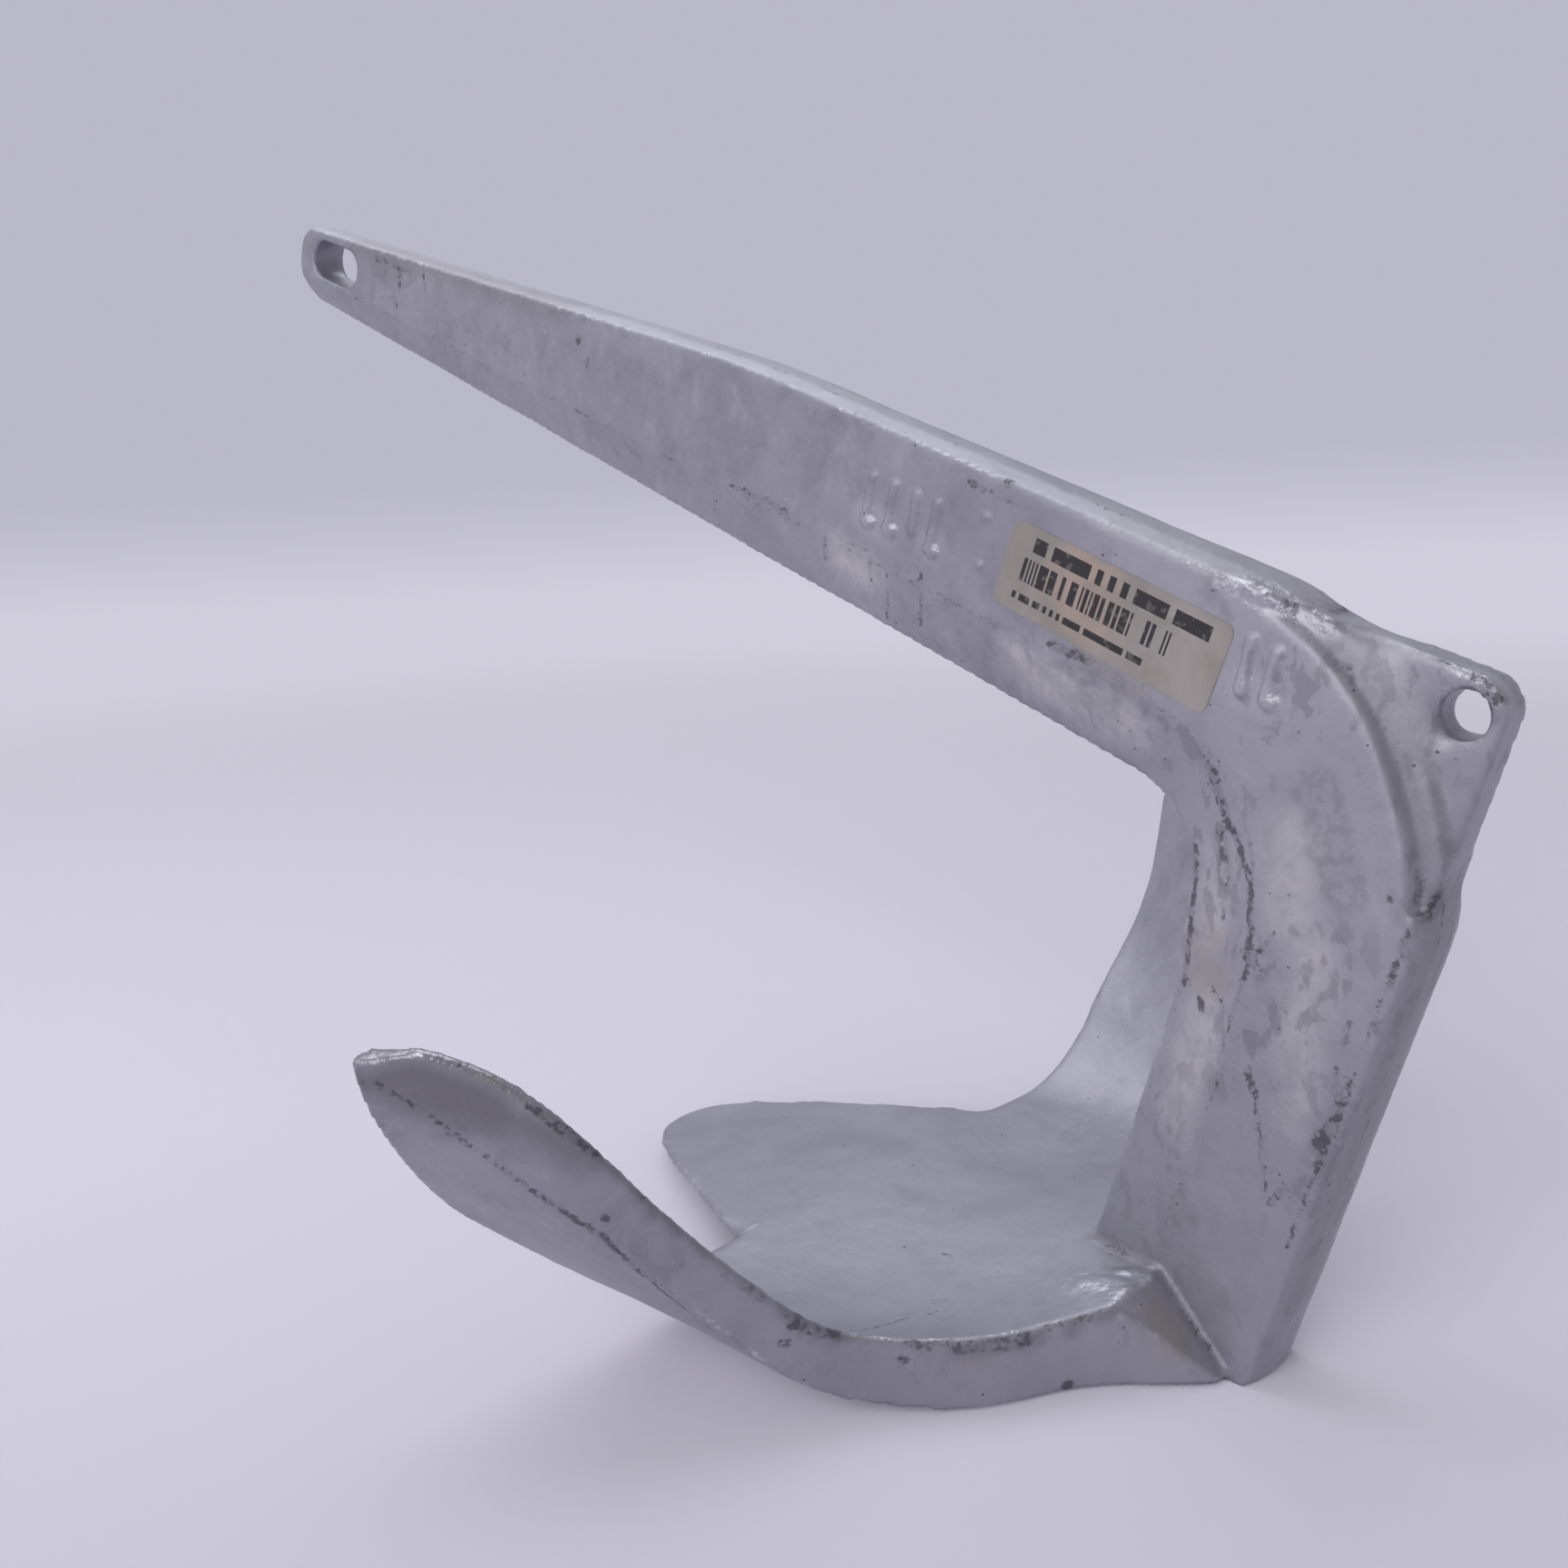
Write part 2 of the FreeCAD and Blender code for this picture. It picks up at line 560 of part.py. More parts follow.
def undercut_block(start, end, past):
    """A block under one edge of the tongue, leaning inwards below a thin rim."""
    run = unit(end - start)
    lean = math.radians(size("tongue_undercut"))
    inward = unit(FreeCAD.Vector(-run.y, run.x, 0))
    down = inward * math.sin(lean) - FreeCAD.Vector(0, 0, math.cos(lean))
    first = start - run * REACH
    last = end + run * past
    corners = [first, last, last + down * REACH, first + down * REACH]
    face = Part.Face(Part.makePolygon(corners + corners[:1]))
    return face.extrude(unit(run.cross(down)) * -REACH)


def undercut_tool():
    """Blocks under both sides and the end of the tongue."""
    rise = size("front_height") + size("front_thickness") - size("tongue_step")
    slope = (rise - size("tongue_tip_height")) / (size("tongue_back") - size("front_back"))
    stops = [(size("tongue_back"), size("tongue_end_half_width")),
             (size("tongue_back") - size("tongue_shoulder_run"),
              size("tongue_shoulder_half_width")),
             (size("notch_back"), size("notch_half_width"))]
    rim = []
    for back, half_width in stops:
        height = rise - slope * (back - size("front_back")) - size("tongue_edge")
        rim.append(FreeCAD.Vector(-back, -half_width, height))
    middle = FreeCAD.Vector(rim[0].x, 0, rim[0].z)
    side_blocks = [undercut_block(rim[0], rim[1], REACH), undercut_block(rim[1], rim[2], 0)]
    blocks = side_blocks + [block.mirror(FreeCAD.Vector(0, 0, 0), FreeCAD.Vector(0, 1, 0))
                            for block in side_blocks]
    blocks.append(undercut_block(middle, rim[0], REACH))
    tool = doc.addObject("Part::Feature", "TongueUndercut")
    tool.Shape = Part.makeCompound(blocks)
    return tool


tongue = cut("Tongue", flat_tongue, undercut_tool())
doc.recompute()


# The casting: all forms joined, then the trip-line hole and the shackle eye cut through

claw = doc.addObject("Part::MultiFuse", "Claw")
claw.Shapes = [scoop, tongue]
crook = doc.addObject("Part::MultiFuse", "Crook")
crook.Shapes = [stepped, strip, lug_plate]
joined = doc.addObject("Part::MultiFuse", "JoinedForms")
joined.Shapes = [crook, claw]

trip_tool = doc.addObject("Part::Cylinder", "TripHoleTool")
trip_tool.setExpression("Radius", "Sizes.trip_bore / 2")
trip_tool.setExpression("Height", "Sizes.arm_thickness")
trip_tool.Placement = FreeCAD.Placement(
    FreeCAD.Vector(0, 0, 0), FreeCAD.Rotation(FreeCAD.Vector(1, 0, 0), 90))
trip_tool.setExpression("Placement.Base.y", "Sizes.arm_thickness / 2")
trip_tool.setExpression("Placement.Base.z", "Sizes.trip_height")


def slot_outline(body, name):
    """A slot along the shank: two parallel runs joined by half circles."""
    sketch = new_sketch(body, name, SIDE)
    half_run = (size("slot_length") - size("slot_width")) / 2
    radius = size("slot_width") / 2
    run_text = "(Sizes.slot_length - Sizes.slot_width) / 2"
    along = FreeCAD.Vector(ALONG.x, ALONG.z, 0)
    aside = FreeCAD.Vector(-ALONG.z, ALONG.x, 0)
    middle = FreeCAD.Vector(EYE.x, EYE.z, 0)
    ends = [(middle - along * half_run, "-"), (middle + along * half_run, "+")]
    near, far = ends[0][0], ends[1][0]
    sketch.addGeometry(Part.LineSegment(near + aside * radius, far + aside * radius), False)
    sketch.addGeometry(Part.LineSegment(far - aside * radius, near - aside * radius), False)
    sketch.addGeometry(Part.Arc(near - aside * radius, near - along * radius,
                                near + aside * radius), False)
    sketch.addGeometry(Part.Arc(far + aside * radius, far + along * radius,
                                far - aside * radius), False)
    constrain(sketch, "Tangent", 0, 1, 2, 1)
    constrain(sketch, "Tangent", 0, 2, 3, 2)
    constrain(sketch, "Tangent", 1, 1, 3, 1)
    constrain(sketch, "Tangent", 1, 2, 2, 2)
    bind(sketch, "Radius", 2, (radius,), "Sizes.slot_width / 2")
    for arc, (centre, sign) in zip((2, 3), ends):
        back_text = "-Sizes.eye_back %s %s * %s" % (sign, run_text, COSINE)
        height_text = "Sizes.eye_height - (0 %s %s * %s)" % (sign, run_text, SINE)
        bind(sketch, "DistanceX", arc, (3, centre.x), back_text)
        bind(sketch, "DistanceY", arc, (3, centre.y), height_text)
    return sketch


slot_tool = doc.addObject("PartDesign::Body", "EyeSlotTool")
slot_pad = slot_tool.newObject("PartDesign::Pad", "EyeSlotPad")
slot_pad.Profile = slot_outline(slot_tool, "EyeSlotOutline")
slot_pad.Midplane = True
slot_pad.setExpression("Length", "2 * Sizes.arm_thickness")

drilled = cut("DrilledCasting", joined, trip_tool)
casting = cut("anchor_casting", drilled, slot_tool)
casting.Label = "anchor_casting"
doc.recompute()

# The frame: origin under the middle of the anchor's length, at ground level

bounds = casting.Shape.BoundBox
frame_shift = -(bounds.XMin + bounds.XMax) / 2
casting.Placement = FreeCAD.Placement(FreeCAD.Vector(frame_shift, 0, 0), FreeCAD.Rotation())


# Paper sticker, flat on the near side of the shank, which leans with the taper

LABEL_CORNERS = [
    (FreeCAD.Vector(side_x * size("label_length") / 2, side_y * size("label_width") / 2, 0),
     "%d * Sizes.label_length / 2" % side_x, "%d * Sizes.label_width / 2" % side_y,
     "label_corner_radius")
    for side_x, side_y in ((-1, -1), (1, -1), (1, 1), (-1, 1))
]
label = doc.addObject("PartDesign::Body", "label")
label_pad = label.newObject("PartDesign::Pad", "LabelPad")
label_pad.Profile = rounded_outline(label, "LabelOutline", PLAN, LABEL_CORNERS)
label_pad.setExpression("Length", "Sizes.label_thickness")
label.Label = "label"

taper_rate = (size("arm_thickness") - size("eye_thickness")) / 2
taper_rate /= size("eye_back") - size("taper_start_back")
label_depth = half_arm - taper_rate * (size("label_back") - size("taper_start_back"))
lean = FreeCAD.Rotation(FreeCAD.Vector(0, 0, 1), -math.degrees(math.atan(taper_rate)))
upright = FreeCAD.Rotation(FreeCAD.Vector(1, 0, 0), 90)
turn = FreeCAD.Rotation(FreeCAD.Vector(0, 0, 1), -size("label_angle"))
label.Placement = FreeCAD.Placement(
    FreeCAD.Vector(frame_shift - size("label_back"), -label_depth, size("label_height")),
    lean * upright * turn)
doc.recompute()


# Every feature has to be sound before anything is written

for item in doc.Objects:
    if "Invalid" in item.State or "Error" in item.State:
        raise RuntimeError("%s failed: %s" % (item.Name, item.State))
os.makedirs("parts", exist_ok=True)
for piece in (casting, label):
    if piece.Shape.isNull() or not piece.Shape.isValid():
        raise RuntimeError("%s has no sound shape" % piece.Label)
    if len(piece.Shape.Solids) != 1:
        raise RuntimeError("%s is not one solid" % piece.Label)
for piece in (casting, label):
    piece.Shape.exportStep("parts/%s.step" % piece.Label)
    box = piece.Shape.BoundBox
    print(piece.Label, round(piece.Shape.Volume / 1000, 1), "cm3",
          [round(v, 2) for v in (box.XMin, box.XMax, box.YMin, box.YMax, box.ZMin, box.ZMax)])
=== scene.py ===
import math

import bmesh
import bpy
import numpy
from mathutils import Matrix, Vector
from mathutils.bvhtree import BVHTree
from mathutils.kdtree import KDTree


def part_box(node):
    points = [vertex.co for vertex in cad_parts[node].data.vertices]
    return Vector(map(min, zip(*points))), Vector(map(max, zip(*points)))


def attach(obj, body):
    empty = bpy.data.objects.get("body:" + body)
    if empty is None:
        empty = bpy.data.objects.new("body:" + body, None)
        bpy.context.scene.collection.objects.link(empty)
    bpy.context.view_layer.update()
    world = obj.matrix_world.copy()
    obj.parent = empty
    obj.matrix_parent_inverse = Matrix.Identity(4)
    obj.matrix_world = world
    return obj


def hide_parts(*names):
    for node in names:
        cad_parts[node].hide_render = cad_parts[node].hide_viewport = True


MM = 0.001

# Studio: its floor, the cove behind it and the wall, in metres

FLOOR_HALF_WIDTH = 3.0
FLOOR_DROP = 0.2 * MM
COVE_RADIUS = 1.2
COVE_STEPS = 16
WALL_TOP = 3.4

# Skin: its voxels, its seams, the smoothing that keeps its volume, how far it is drawn back to
# the solid, and its waves, each with a length and a height

SKIN_VOXEL = 1.65 * MM
SEAM_GAP = 0.01 * MM
SMOOTHING = (0.5, -0.52, 0.5, -0.52, 0.5)
SHARE_DRAWN_BACK = 0.5
WAVE_LENGTH = 28 * MM
WAVE_HEIGHT = 0.6 * MM
RIPPLE_LENGTH = 7 * MM
RIPPLE_HEIGHT = 0.22 * MM

# Creases of the casting, by how sharply its faces turn there. The joint between the palm and
# its tongue, low and in front of this place, is dressed smooth and collects no dross, as is the
# line across the palm in the box between these two corners. The foot of the step on the lug's
# own face is soft too, short of the lug's rear edge, and so is the edge where the arm rolls off
# toward the lug. The rear corner of the arm and lug is dull, and has no bright rim.

FAINT_CREASE = math.radians(3)
LEAST_CREASE = math.radians(11)
SHARP_EDGE = math.radians(38)
SMOOTH_JOINT_FRONT = 70 * MM
SMOOTH_JOINT_TOP = 30 * MM
JOINT_LINE_LOW = Vector((0.042, -0.058, 0.008))
JOINT_LINE_HIGH = Vector((0.066, 0.058, 0.022))
LUG_FRONT = 232 * MM
LUG_DEPTH = 7 * MM
LUG_REAR_SLOPE = 0.3
LUG_REAR = 197 * MM
ROLLED_EDGE_FRONT = 214 * MM
ROLLED_EDGE_FOOT = 142 * MM
DULL_CORNER = 200 * MM
DULL_CORNER_TOP = 185 * MM

# Creases that the finish reads, and those rubbed down on the skin, with the reach in millimetres
# and the rounds of rubbing

KEPT_CREASES = ("groove_away", "ridge_away", "rim_away")
SOFT_CREASES = {
    "soft_step": (8.0, 40),
    "rolled_edge": (5.0, 8),
    "soft_joint": (9.0, 25),
}
RUBBING = 0.5

# The farthest distance that is kept for a finish, in millimetres, and the length under which a
# run counts as a single place

FARTHEST_KEPT = 20.0
SHORTEST_RUN = 0.001 * MM

# Marks on the casting, in millimetres. Each is a run from one place to another and its half
# width, and a round mark starts and ends at the same place.

DARK_RUNS = [
    # edge of the slope along the shank, and drips below it
    ((14, -11, 255), (30, -11, 250), 0.6),
    ((30, -11, 250), (41, -11, 245), 1.0),
    ((58, -12, 238), (55, -9, 230), 0.6),
    ((77, -12, 230), (75, -9, 224), 0.5),
    ((84, -12, 228), (82, -8, 220), 0.2),
    ((81, -8, 219), (77, -5, 210), 0.3),
    ((98, -12, 226), (97, -10, 219), 0.7),
    ((96, -9, 217), (93, -7, 210), 0.6),
    ((64, -12, 237), (96, -12, 226), 0.1),
    ((132, -12, 253), (133, -12, 252), 1.2),
    ((146, -12, 207), (160, -13, 203), 1.2),
    # hollow side of the elbow
    ((198, -12, 175), (201, -11, 165), 2.0),
    ((194, -11, 183), (198, -12, 175), 0.8),
    ((199, -10, 160), (198, -9, 157), 1.4),
    ((201, -11, 165), (210, -13, 147), 1.2),
    ((200, -9, 137), (200, -9, 134), 0.7),
    ((210, -13, 125), (217, -13, 134), 0.5),
    ((210, -13, 125), (205, -13, 110), 0.5),
    ((208, -13, 127), (216, -13, 122), 0.7),
    ((193, -8, 109), (194, -8, 107), 1.9),
    ((195, -9, 115), (204, -12, 109), 0.3),
    ((189, -5, 152), (186, -5, 112), 0.9),
    ((210, -13, 147), (210, -13, 125), 0.9),
    ((205, -13, 110), (200, -13, 92), 0.4),
    # scratches down the arm
    ((210, -13, 95), (212, -13, 88), 1.0),
    ((212, -13, 88), (216, -13, 60), 0.4),
    ((221, -13, 64), (217, -13, 58), 1.0),
    ((234, -13, 169), (236, -13, 166), 0.5),
    ((238, -13, 115), (237, -13, 108), 0.8),
    ((235, -13, 101), (236, -13, 91), 1.0),
    ((234, -13, 86), (230, -13, 79), 1.3),
    ((254, -11, 146), (257, -8, 148), 1.2),
    ((253, -13, 141), (248, -13, 126), 0.6),
    ((248, -13, 126), (242, -13, 108), 0.3),
    ((240, -13, 102), (236, -13, 89), 0.7),
    ((236, -13, 89), (230, -13, 72), 0.9),
    ((230, -13, 72), (222, -13, 47), 0.4),
    # upper rim of the near horn
    ((95, -164, 101), (99, -160, 96), 0.4),
    ((99, -160, 96), (103, -155, 91), 0.7),
    # top edge of the shank
    ((118, -11, 253), (140, -11, 245), 1.2),
    ((96, -11, 262), (104, -11, 259), 0.6),
    # ridge under the near horn and its upper rim
    ((62, -191, 110), (64, -190, 109), 0.8),
    ((66, -188, 107), (72, -181, 100), 0.4),
    ((72, -181, 100), (77, -177, 94), 0.5),
    ((77, -177, 94), (90, -164, 78), 0.6),
    ((90, -164, 78), (102, -151, 64), 0.8),
    ((102, -151, 64), (111, -135, 41), 0.7),
    ((111, -135, 41), (115, -127, 32), 0.6),
    ((93, -166, 104), (101, -156, 94), 0.7),
    # palm, its rear edge and the near wing
    ((130, -88, 20), (134, -69, 17), 0.5),
    ((137, -66, 17), (139, -58, 17), 0.4),
    ((173, -55, 23), (180, -44, 24), 0.6),
    ((132, -113, 34), (132, -113, 34), 2.0),
    ((129, -115, 28), (130, -114, 28), 1.0),
    ((175, -48, 2), (175, -48, 2), 2.1),
    ((150, -87, 18), (148, -89, 19), 0.7),
    ((103, -151, 70), (103, -151, 70), 1.0),
    ((117, -33, 17), (121, -33, 17), 0.4),
    # shank near the shackle eye
    ((-65, -10, 310), (-66, -10, 309), 1.3),
    ((-61, -10, 317), (-61, -10, 316), 0.6),
    ((-61, -10, 302), (-62, -10, 300), 0.5),
    ((-102, -10, 300), (-102, -10, 300), 0.7),
    ((-141, -9, 314), (-141, -9, 314), 0.7),
    ((-191, -9, 335), (-191, -9, 334), 0.8),
    ((-204, -8, 355), (-194, -8, 352), 0.9),
    ((-190, -9, 350), (-176, -9, 346), 0.5),
    ((-167, -9, 348), (-168, -9, 338), 0.6),
    ((-186, -9, 348), (-187, -9, 340), 0.5),
    # painted shade in the groove beside the ridge of the gusset
    ((185, -14, 23), (192, -14, 15), 0.5),
    ((192, -14, 15), (199, -14, 8), 0.7),
    # lug, and specks on the arm
    ((249, -6, 211), (259, -6, 206), 0.7),
    ((264, -6, 204), (269, -6, 199), 1.3),
    ((219, -13, 109), (219, -13, 109), 0.8),
    ((244, -13, 156), (244, -13, 156), 0.5),
    ((248, -13, 148), (248, -13, 149), 0.6),
]
# Smudges, and a band of painted shade in the groove beside the lug
SMUDGES_AND_SHADE = [
    ((-204, -8, 352), (-180, -9, 345), 3.0),
    ((-192, -8, 340), (-184, -9, 336), 2.0),
    ((-118, -10, 316), (-112, -10, 312), 2.0),
    ((62, -12, 274), (66, -12, 272), 2.0),
    ((110, -143, 60), (113, -139, 55), 3.0),
    ((103, -156, 91), (106, -153, 88), 3.0),
    ((88, 106, 20), (94, 67, 14), 3.0),
    ((58, -189, 97), (60, -187, 92), 3.0),
    # painted shade in the groove where the arm steps down to the lug
    ((228, -13, 174), (236, -13, 150), 5.0),
    ((226, -13, 60), (236, -13, 90), 3.0),
    ((186, -10, 60), (190, -12, 45), 3.0),
    ((150, -10, 204), (176, -12, 192), 3.0),
]
# Pale patches, partly paler zinc and partly painted light: the bevel under the shank and round the
# elbow is lightened for the floor's light that it takes.
PALE_PATCHES = [
    ((198, -10, 150), (194, -8, 130), 4.0),
    ((194, -8, 104), (191, -8, 90), 5.5),
    ((189, -8, 82), (187, -8, 74), 4.0),
    ((222, -13, 160), (221, -13, 140), 5.0),
    ((226, -13, 96), (224, -13, 84), 1.0),
    ((132, -9, 201), (170, -8, 186), 6.0),
    ((62, -9, 232), (78, -8, 224), 3.0),
    ((228, -13, 130), (224, -13, 100), 4.0),
]
RUSTY_PATCHES = [
    ((194, -8, 125), (195, -8, 118), 6.0),
    ((188, -26, 19), (192, -24, 14), 6.0),
    ((161, -73, 17), (163, -71, 17), 2.0),
    ((160, -12, 205), (175, -13, 200), 3.0),
]
# Painted shade: areas drawn darker on the near horn's upper face, along the lug's edge, on the
# arm's rear face and on the shank's top.
PAINTED_SHADE_AREAS = [
    ((66, -187, 112), (86, -170, 104), 7.5),
    ((92, -165, 98), (100, -158, 91), 2.0),
    ((232, -9, 212), (250, -9, 190), 0.5),
    ((250, -9, 190), (259, -8, 162), 0.5),
    ((260, -4, 146), (226, -4, 30), 6.0),
    ((-222, -5, 365), (-75, -6, 322), 0.5),
]
# Lumps of zinc that glint: smoother and more lumpy, with a painted glint in their colour.
BRIGHT_LUMPS = [
    ((61, -192, 116), (72, -183, 119), 1.0),
    ((72, -183, 119), (84, -171, 112), 1.0),
    ((84, -171, 112), (92, -166, 104), 0.2),
    ((166, -28, 24), (178, -24, 26), 5.0),
    ((176, -34, 24), (184, -30, 25), 4.0),
    ((262, -6, 206), (270, -6, 201), 2.5),
    ((76, -12, 243), (85, -12, 239), 3.0),
    ((102, -12, 234), (103, -12, 233), 3.0),
    ((206, -13, 198), (214, -13, 194), 3.0),
    ((208, -12, 227), (228, -8, 217), 3.0),
]
KEPT_MARKS = {
    "dark_away": DARK_RUNS,
    "smudge_and_shade_away": SMUDGES_AND_SHADE,
    "rusty_away": RUSTY_PATCHES,
    "pale_away": PALE_PATCHES,
    "painted_shade_away": PAINTED_SHADE_AREAS,
    "bright_away": BRIGHT_LUMPS,
}

# Raised foundry bars and pips on the near side of the shank, and lumps of zinc at the gusset,
# the shoulder and the elbow, in millimetres: each with its half width and rise. The skin's mesh
# is refined round the bars, this far out.

REFINED_MARGIN = 2.0
FOUNDRY_BARS = [
    ((80, -12, 256), (76, -12, 243), 1.9, 1.25),
    ((89, -12, 253), (85, -12, 240), 1.9, 1.3),
    ((98, -12, 250), (95, -12, 239), 1.8, 1.15),
    ((106, -12, 247), (102, -12, 234), 2.0, 1.3),
    ((76, -12, 243), (77, -12, 242), 2.5, 1.7),
    ((89, -12, 253), (89, -12, 253), 2.2, 1.0),
    ((85, -12, 240), (86, -12, 239), 2.6, 1.4),
    ((102, -12, 234), (103, -12, 233), 2.6, 1.3),
    ((124, -12, 243), (124, -12, 243), 1.9, 0.8),
    ((121, -12, 229), (121, -12, 229), 1.9, 0.9),
    ((210, -13, 211), (207, -13, 200), 1.9, 1.25),
    ((217, -13, 208), (214, -13, 197), 1.9, 1.3),
    ((207, -13, 199), (207, -13, 198), 2.3, 1.4),
    ((214, -13, 196), (215, -13, 195), 2.4, 1.5),
]
CASTING_LUMPS = [
    ((168, -28, 24), (176, -26, 25), 4.0, 0.8),
    ((180, -31, 25), (182, -28, 26), 3.0, 0.9),
    ((174, -20, 26), (176, -18, 28), 3.0, 0.8),
    ((208, -12, 227), (214, -12, 224), 3.0, 0.6),
    ((222, -9, 221), (228, -8, 217), 3.5, 0.7),
    ((193, -8, 112), (196, -9, 109), 3.0, 0.7),
]

# Sticker: its middle, size and slope on the near side of the shank, the sharpest fold that is
# shaded smooth, its slight wrinkles, and its damp stain

STICKER_MIDDLE = Vector((0.1655, -0.01310, 0.2167))
STICKER_LENGTH = 76 * MM
STICKER_WIDTH = 25.5 * MM
STICKER_THICKNESS = 0.15 * MM
STICKER_SLOPE = math.radians(22.3)
STICKER_LEAN = math.radians(0.67)
STICKER_ROUNDING = 3 * MM
STICKER_COLUMNS = 76
STICKER_ROWS = 26
STICKER_LIFT = 0.12 * MM
STICKER_FOLD = math.radians(40)
WRINKLE_LENGTH = 9 * MM
WRINKLE_HEIGHT = 0.3 * MM
STAIN_MIDDLE = (0.158, -0.0131, 0.222)
STAIN_CORE = 7.7 * MM
STAIN_REACH = 22 * MM

# Rows of printed bars on the sticker: bottom, top, columns, share inked, left and right end,
# the heights and ends as shares of the sheet, and how soft the print's edges are

PRINTED_ROWS = [
    (0.36, 0.63, 118.0, 0.5, 0.08, 0.80),
    (0.72, 0.89, 34.0, 0.72, 0.06, 0.92),
    (0.14, 0.22, 60.0, 0.66, 0.08, 0.70),
]
PRINT_EDGE_UP = 0.01
PRINT_EDGE_ALONG = 0.004

# Noise in the finishes: how many clouds to a metre, detail, roughness and distortion

ZINC_CLOUDS = (24.0, 4.0, 0.55, 0.5)
ZINC_FROST = (85.0, 8.0, 0.72, 0.4)
ZINC_FLAKES = (190.0, 4.0, 0.55, 0.3)
ZINC_BLOTCHES = (210.0, 3.0, 0.6)
RAGGED_EDGES = (620.0, 4.0, 0.65)
FLAKY_AREAS = (19.0, 2.0)
DROSS_PATCHES = (75.0, 3.0, 0.6)
SPECK_AREAS = (50.0, 2.0)
WORN_AND_GLINT_PATCHES = (120.0, 3.0, 0.6)
WAVY_RELIEF = (60.0, 3.0)
LUMPY_RELIEF = (260.0, 4.0, 0.6)
SANDY_RELIEF = (1100.0, 2.0)
DAMP_PAPER = (60.0, 4.0, 0.6, 0.5)
FADED_INK = (300.0, 3.0, 0.6)
SPECKS_TO_METRE = 230.0
FLAKE_STRETCH = (1.0, 1.0, 0.6)
FLAKE_TURN = (0.0, math.radians(-38), 0.0)
RAGGEDNESS = 3.4

# Depths of the fine relief

WAVY_DEPTH = 0.45 * MM
LUMPY_DEPTH = 0.16 * MM
SANDY_DEPTH = 0.03 * MM
PITTED_DEPTH = 0.2 * MM
PAPER_DEPTH = 0.12 * MM

# How marks fade: how many millimetres outside one it starts to fade, where it is lost, and its
# share inside

PALE_FADE = (-4.0, 8.0, 0.85)
PAINTED_SHADE_FADE = (-4.0, 10.0, 0.62)
SMUDGE_AND_SHADE_FADE = (0.0, 3.5, 0.34)
RUSTY_FADE = (-2.0, 5.0, 0.44)
GROOVE_SHADE_FADE = (0.0, 5.0, 0.42)
GROOVE_FADE = (0.2, 1.8, 0.75)
RIDGE_FADE = (-0.3, 0.9, 0.75)
DARK_RUN_FADE = (-0.3, 0.7, 0.75)
WORN_AND_GLINT_FADE = (0.0, 1.6, 1.0)
LUMP_FADE = (0.0, 5.0, 1.0)

# Tones of the zinc, of what lies on it, of the shade and light painted on it, and of the papers,
# whose near floor tone is painted shade

ZINC_DEEP = (0.325, 0.32, 0.37, 1)
ZINC_PLAIN = (0.385, 0.38, 0.43, 1)
ZINC_DARK = (0.225, 0.222, 0.255, 1)
ZINC_LIGHT = (0.48, 0.475, 0.525, 1)
ZINC_PALE = (0.62, 0.605, 0.62, 1)
ZINC_PAINTED_SHADE = (0.15, 0.147, 0.155, 1)
ELBOW_PAINTED_LIGHT = (0.50, 0.495, 0.54, 1)
ZINC_WORN_AND_GLINT = (0.72, 0.72, 0.77, 1)
ZINC_PAINTED_GLINT = (0.60, 0.60, 0.65, 1)
FLAKE_GREY = (0.19, 0.185, 0.215, 1)
SMUDGE_AND_SHADE_GREY = (0.20, 0.20, 0.225, 1)
RUST_STAIN = (0.36, 0.33, 0.27, 1)
GROOVE_SHADE = (0.17, 0.168, 0.19, 1)
DROSS_AND_SHADE = (0.075, 0.073, 0.085, 1)
LABEL_DARK = (0.31, 0.285, 0.26, 1)
LABEL_PALE = (0.39, 0.36, 0.34, 1)
DAMP_STAIN = (0.48, 0.33, 0.24, 1)
PRINTING_INK = (0.035, 0.032, 0.035, 1)
FLOOR_NEAR = (0.71, 0.69, 0.78, 1)
FLOOR_FAR = (0.89, 0.87, 0.97, 1)
BACKDROP_FOOT = (0.63, 0.615, 0.71, 1)
BACKDROP_TOP = (0.49, 0.48, 0.57, 1)

# Lights: name, place, what it points at, width, power and colour, and then the air, which is
# stronger from the left

SOFTBOXES = [
    ("ceiling_softbox", (-0.8, 0.4, 2.1), (0.0, 0.0, 0.1), 2.6, 32.0, (0.98, 0.98, 1.0)),
    ("front_softbox", (0.5, -2.0, 1.3), (0.1, 0.0, 0.15), 1.7, 14.0, (1.0, 0.98, 1.0)),
]
AIR_TONE = (0.92, 0.91, 0.98, 1)
AIR_LEFT = -1.0
AIR_RIGHT = 0.8
AIR_LEFT_STRENGTH = 0.82
AIR_RIGHT_STRENGTH = 0.36

# Camera: where it stands, its own right and up directions, its lens, and the way it looks
# along the floor

CAMERA_PLACE = Vector((0.413745, -0.377737, 0.260061))
CAMERA_RIGHT = Vector((0.69965, 0.71287, -0.04795))
CAMERA_UP = Vector((-0.10811, 0.17197, 0.97915))
CAMERA_LENS = 36.104
SENSOR_WIDTH = 36.0
NEAREST_SEEN = 0.02
FARTHEST_SEEN = 20.0
AWAY_ON_FLOOR = Vector((-0.720, 0.694, 0.0))

# Sockets of the Mix node that hold colours, since others of the node have the same names

MIX_UNDER = 6
MIX_OVER = 7
MIX_RESULT = 2


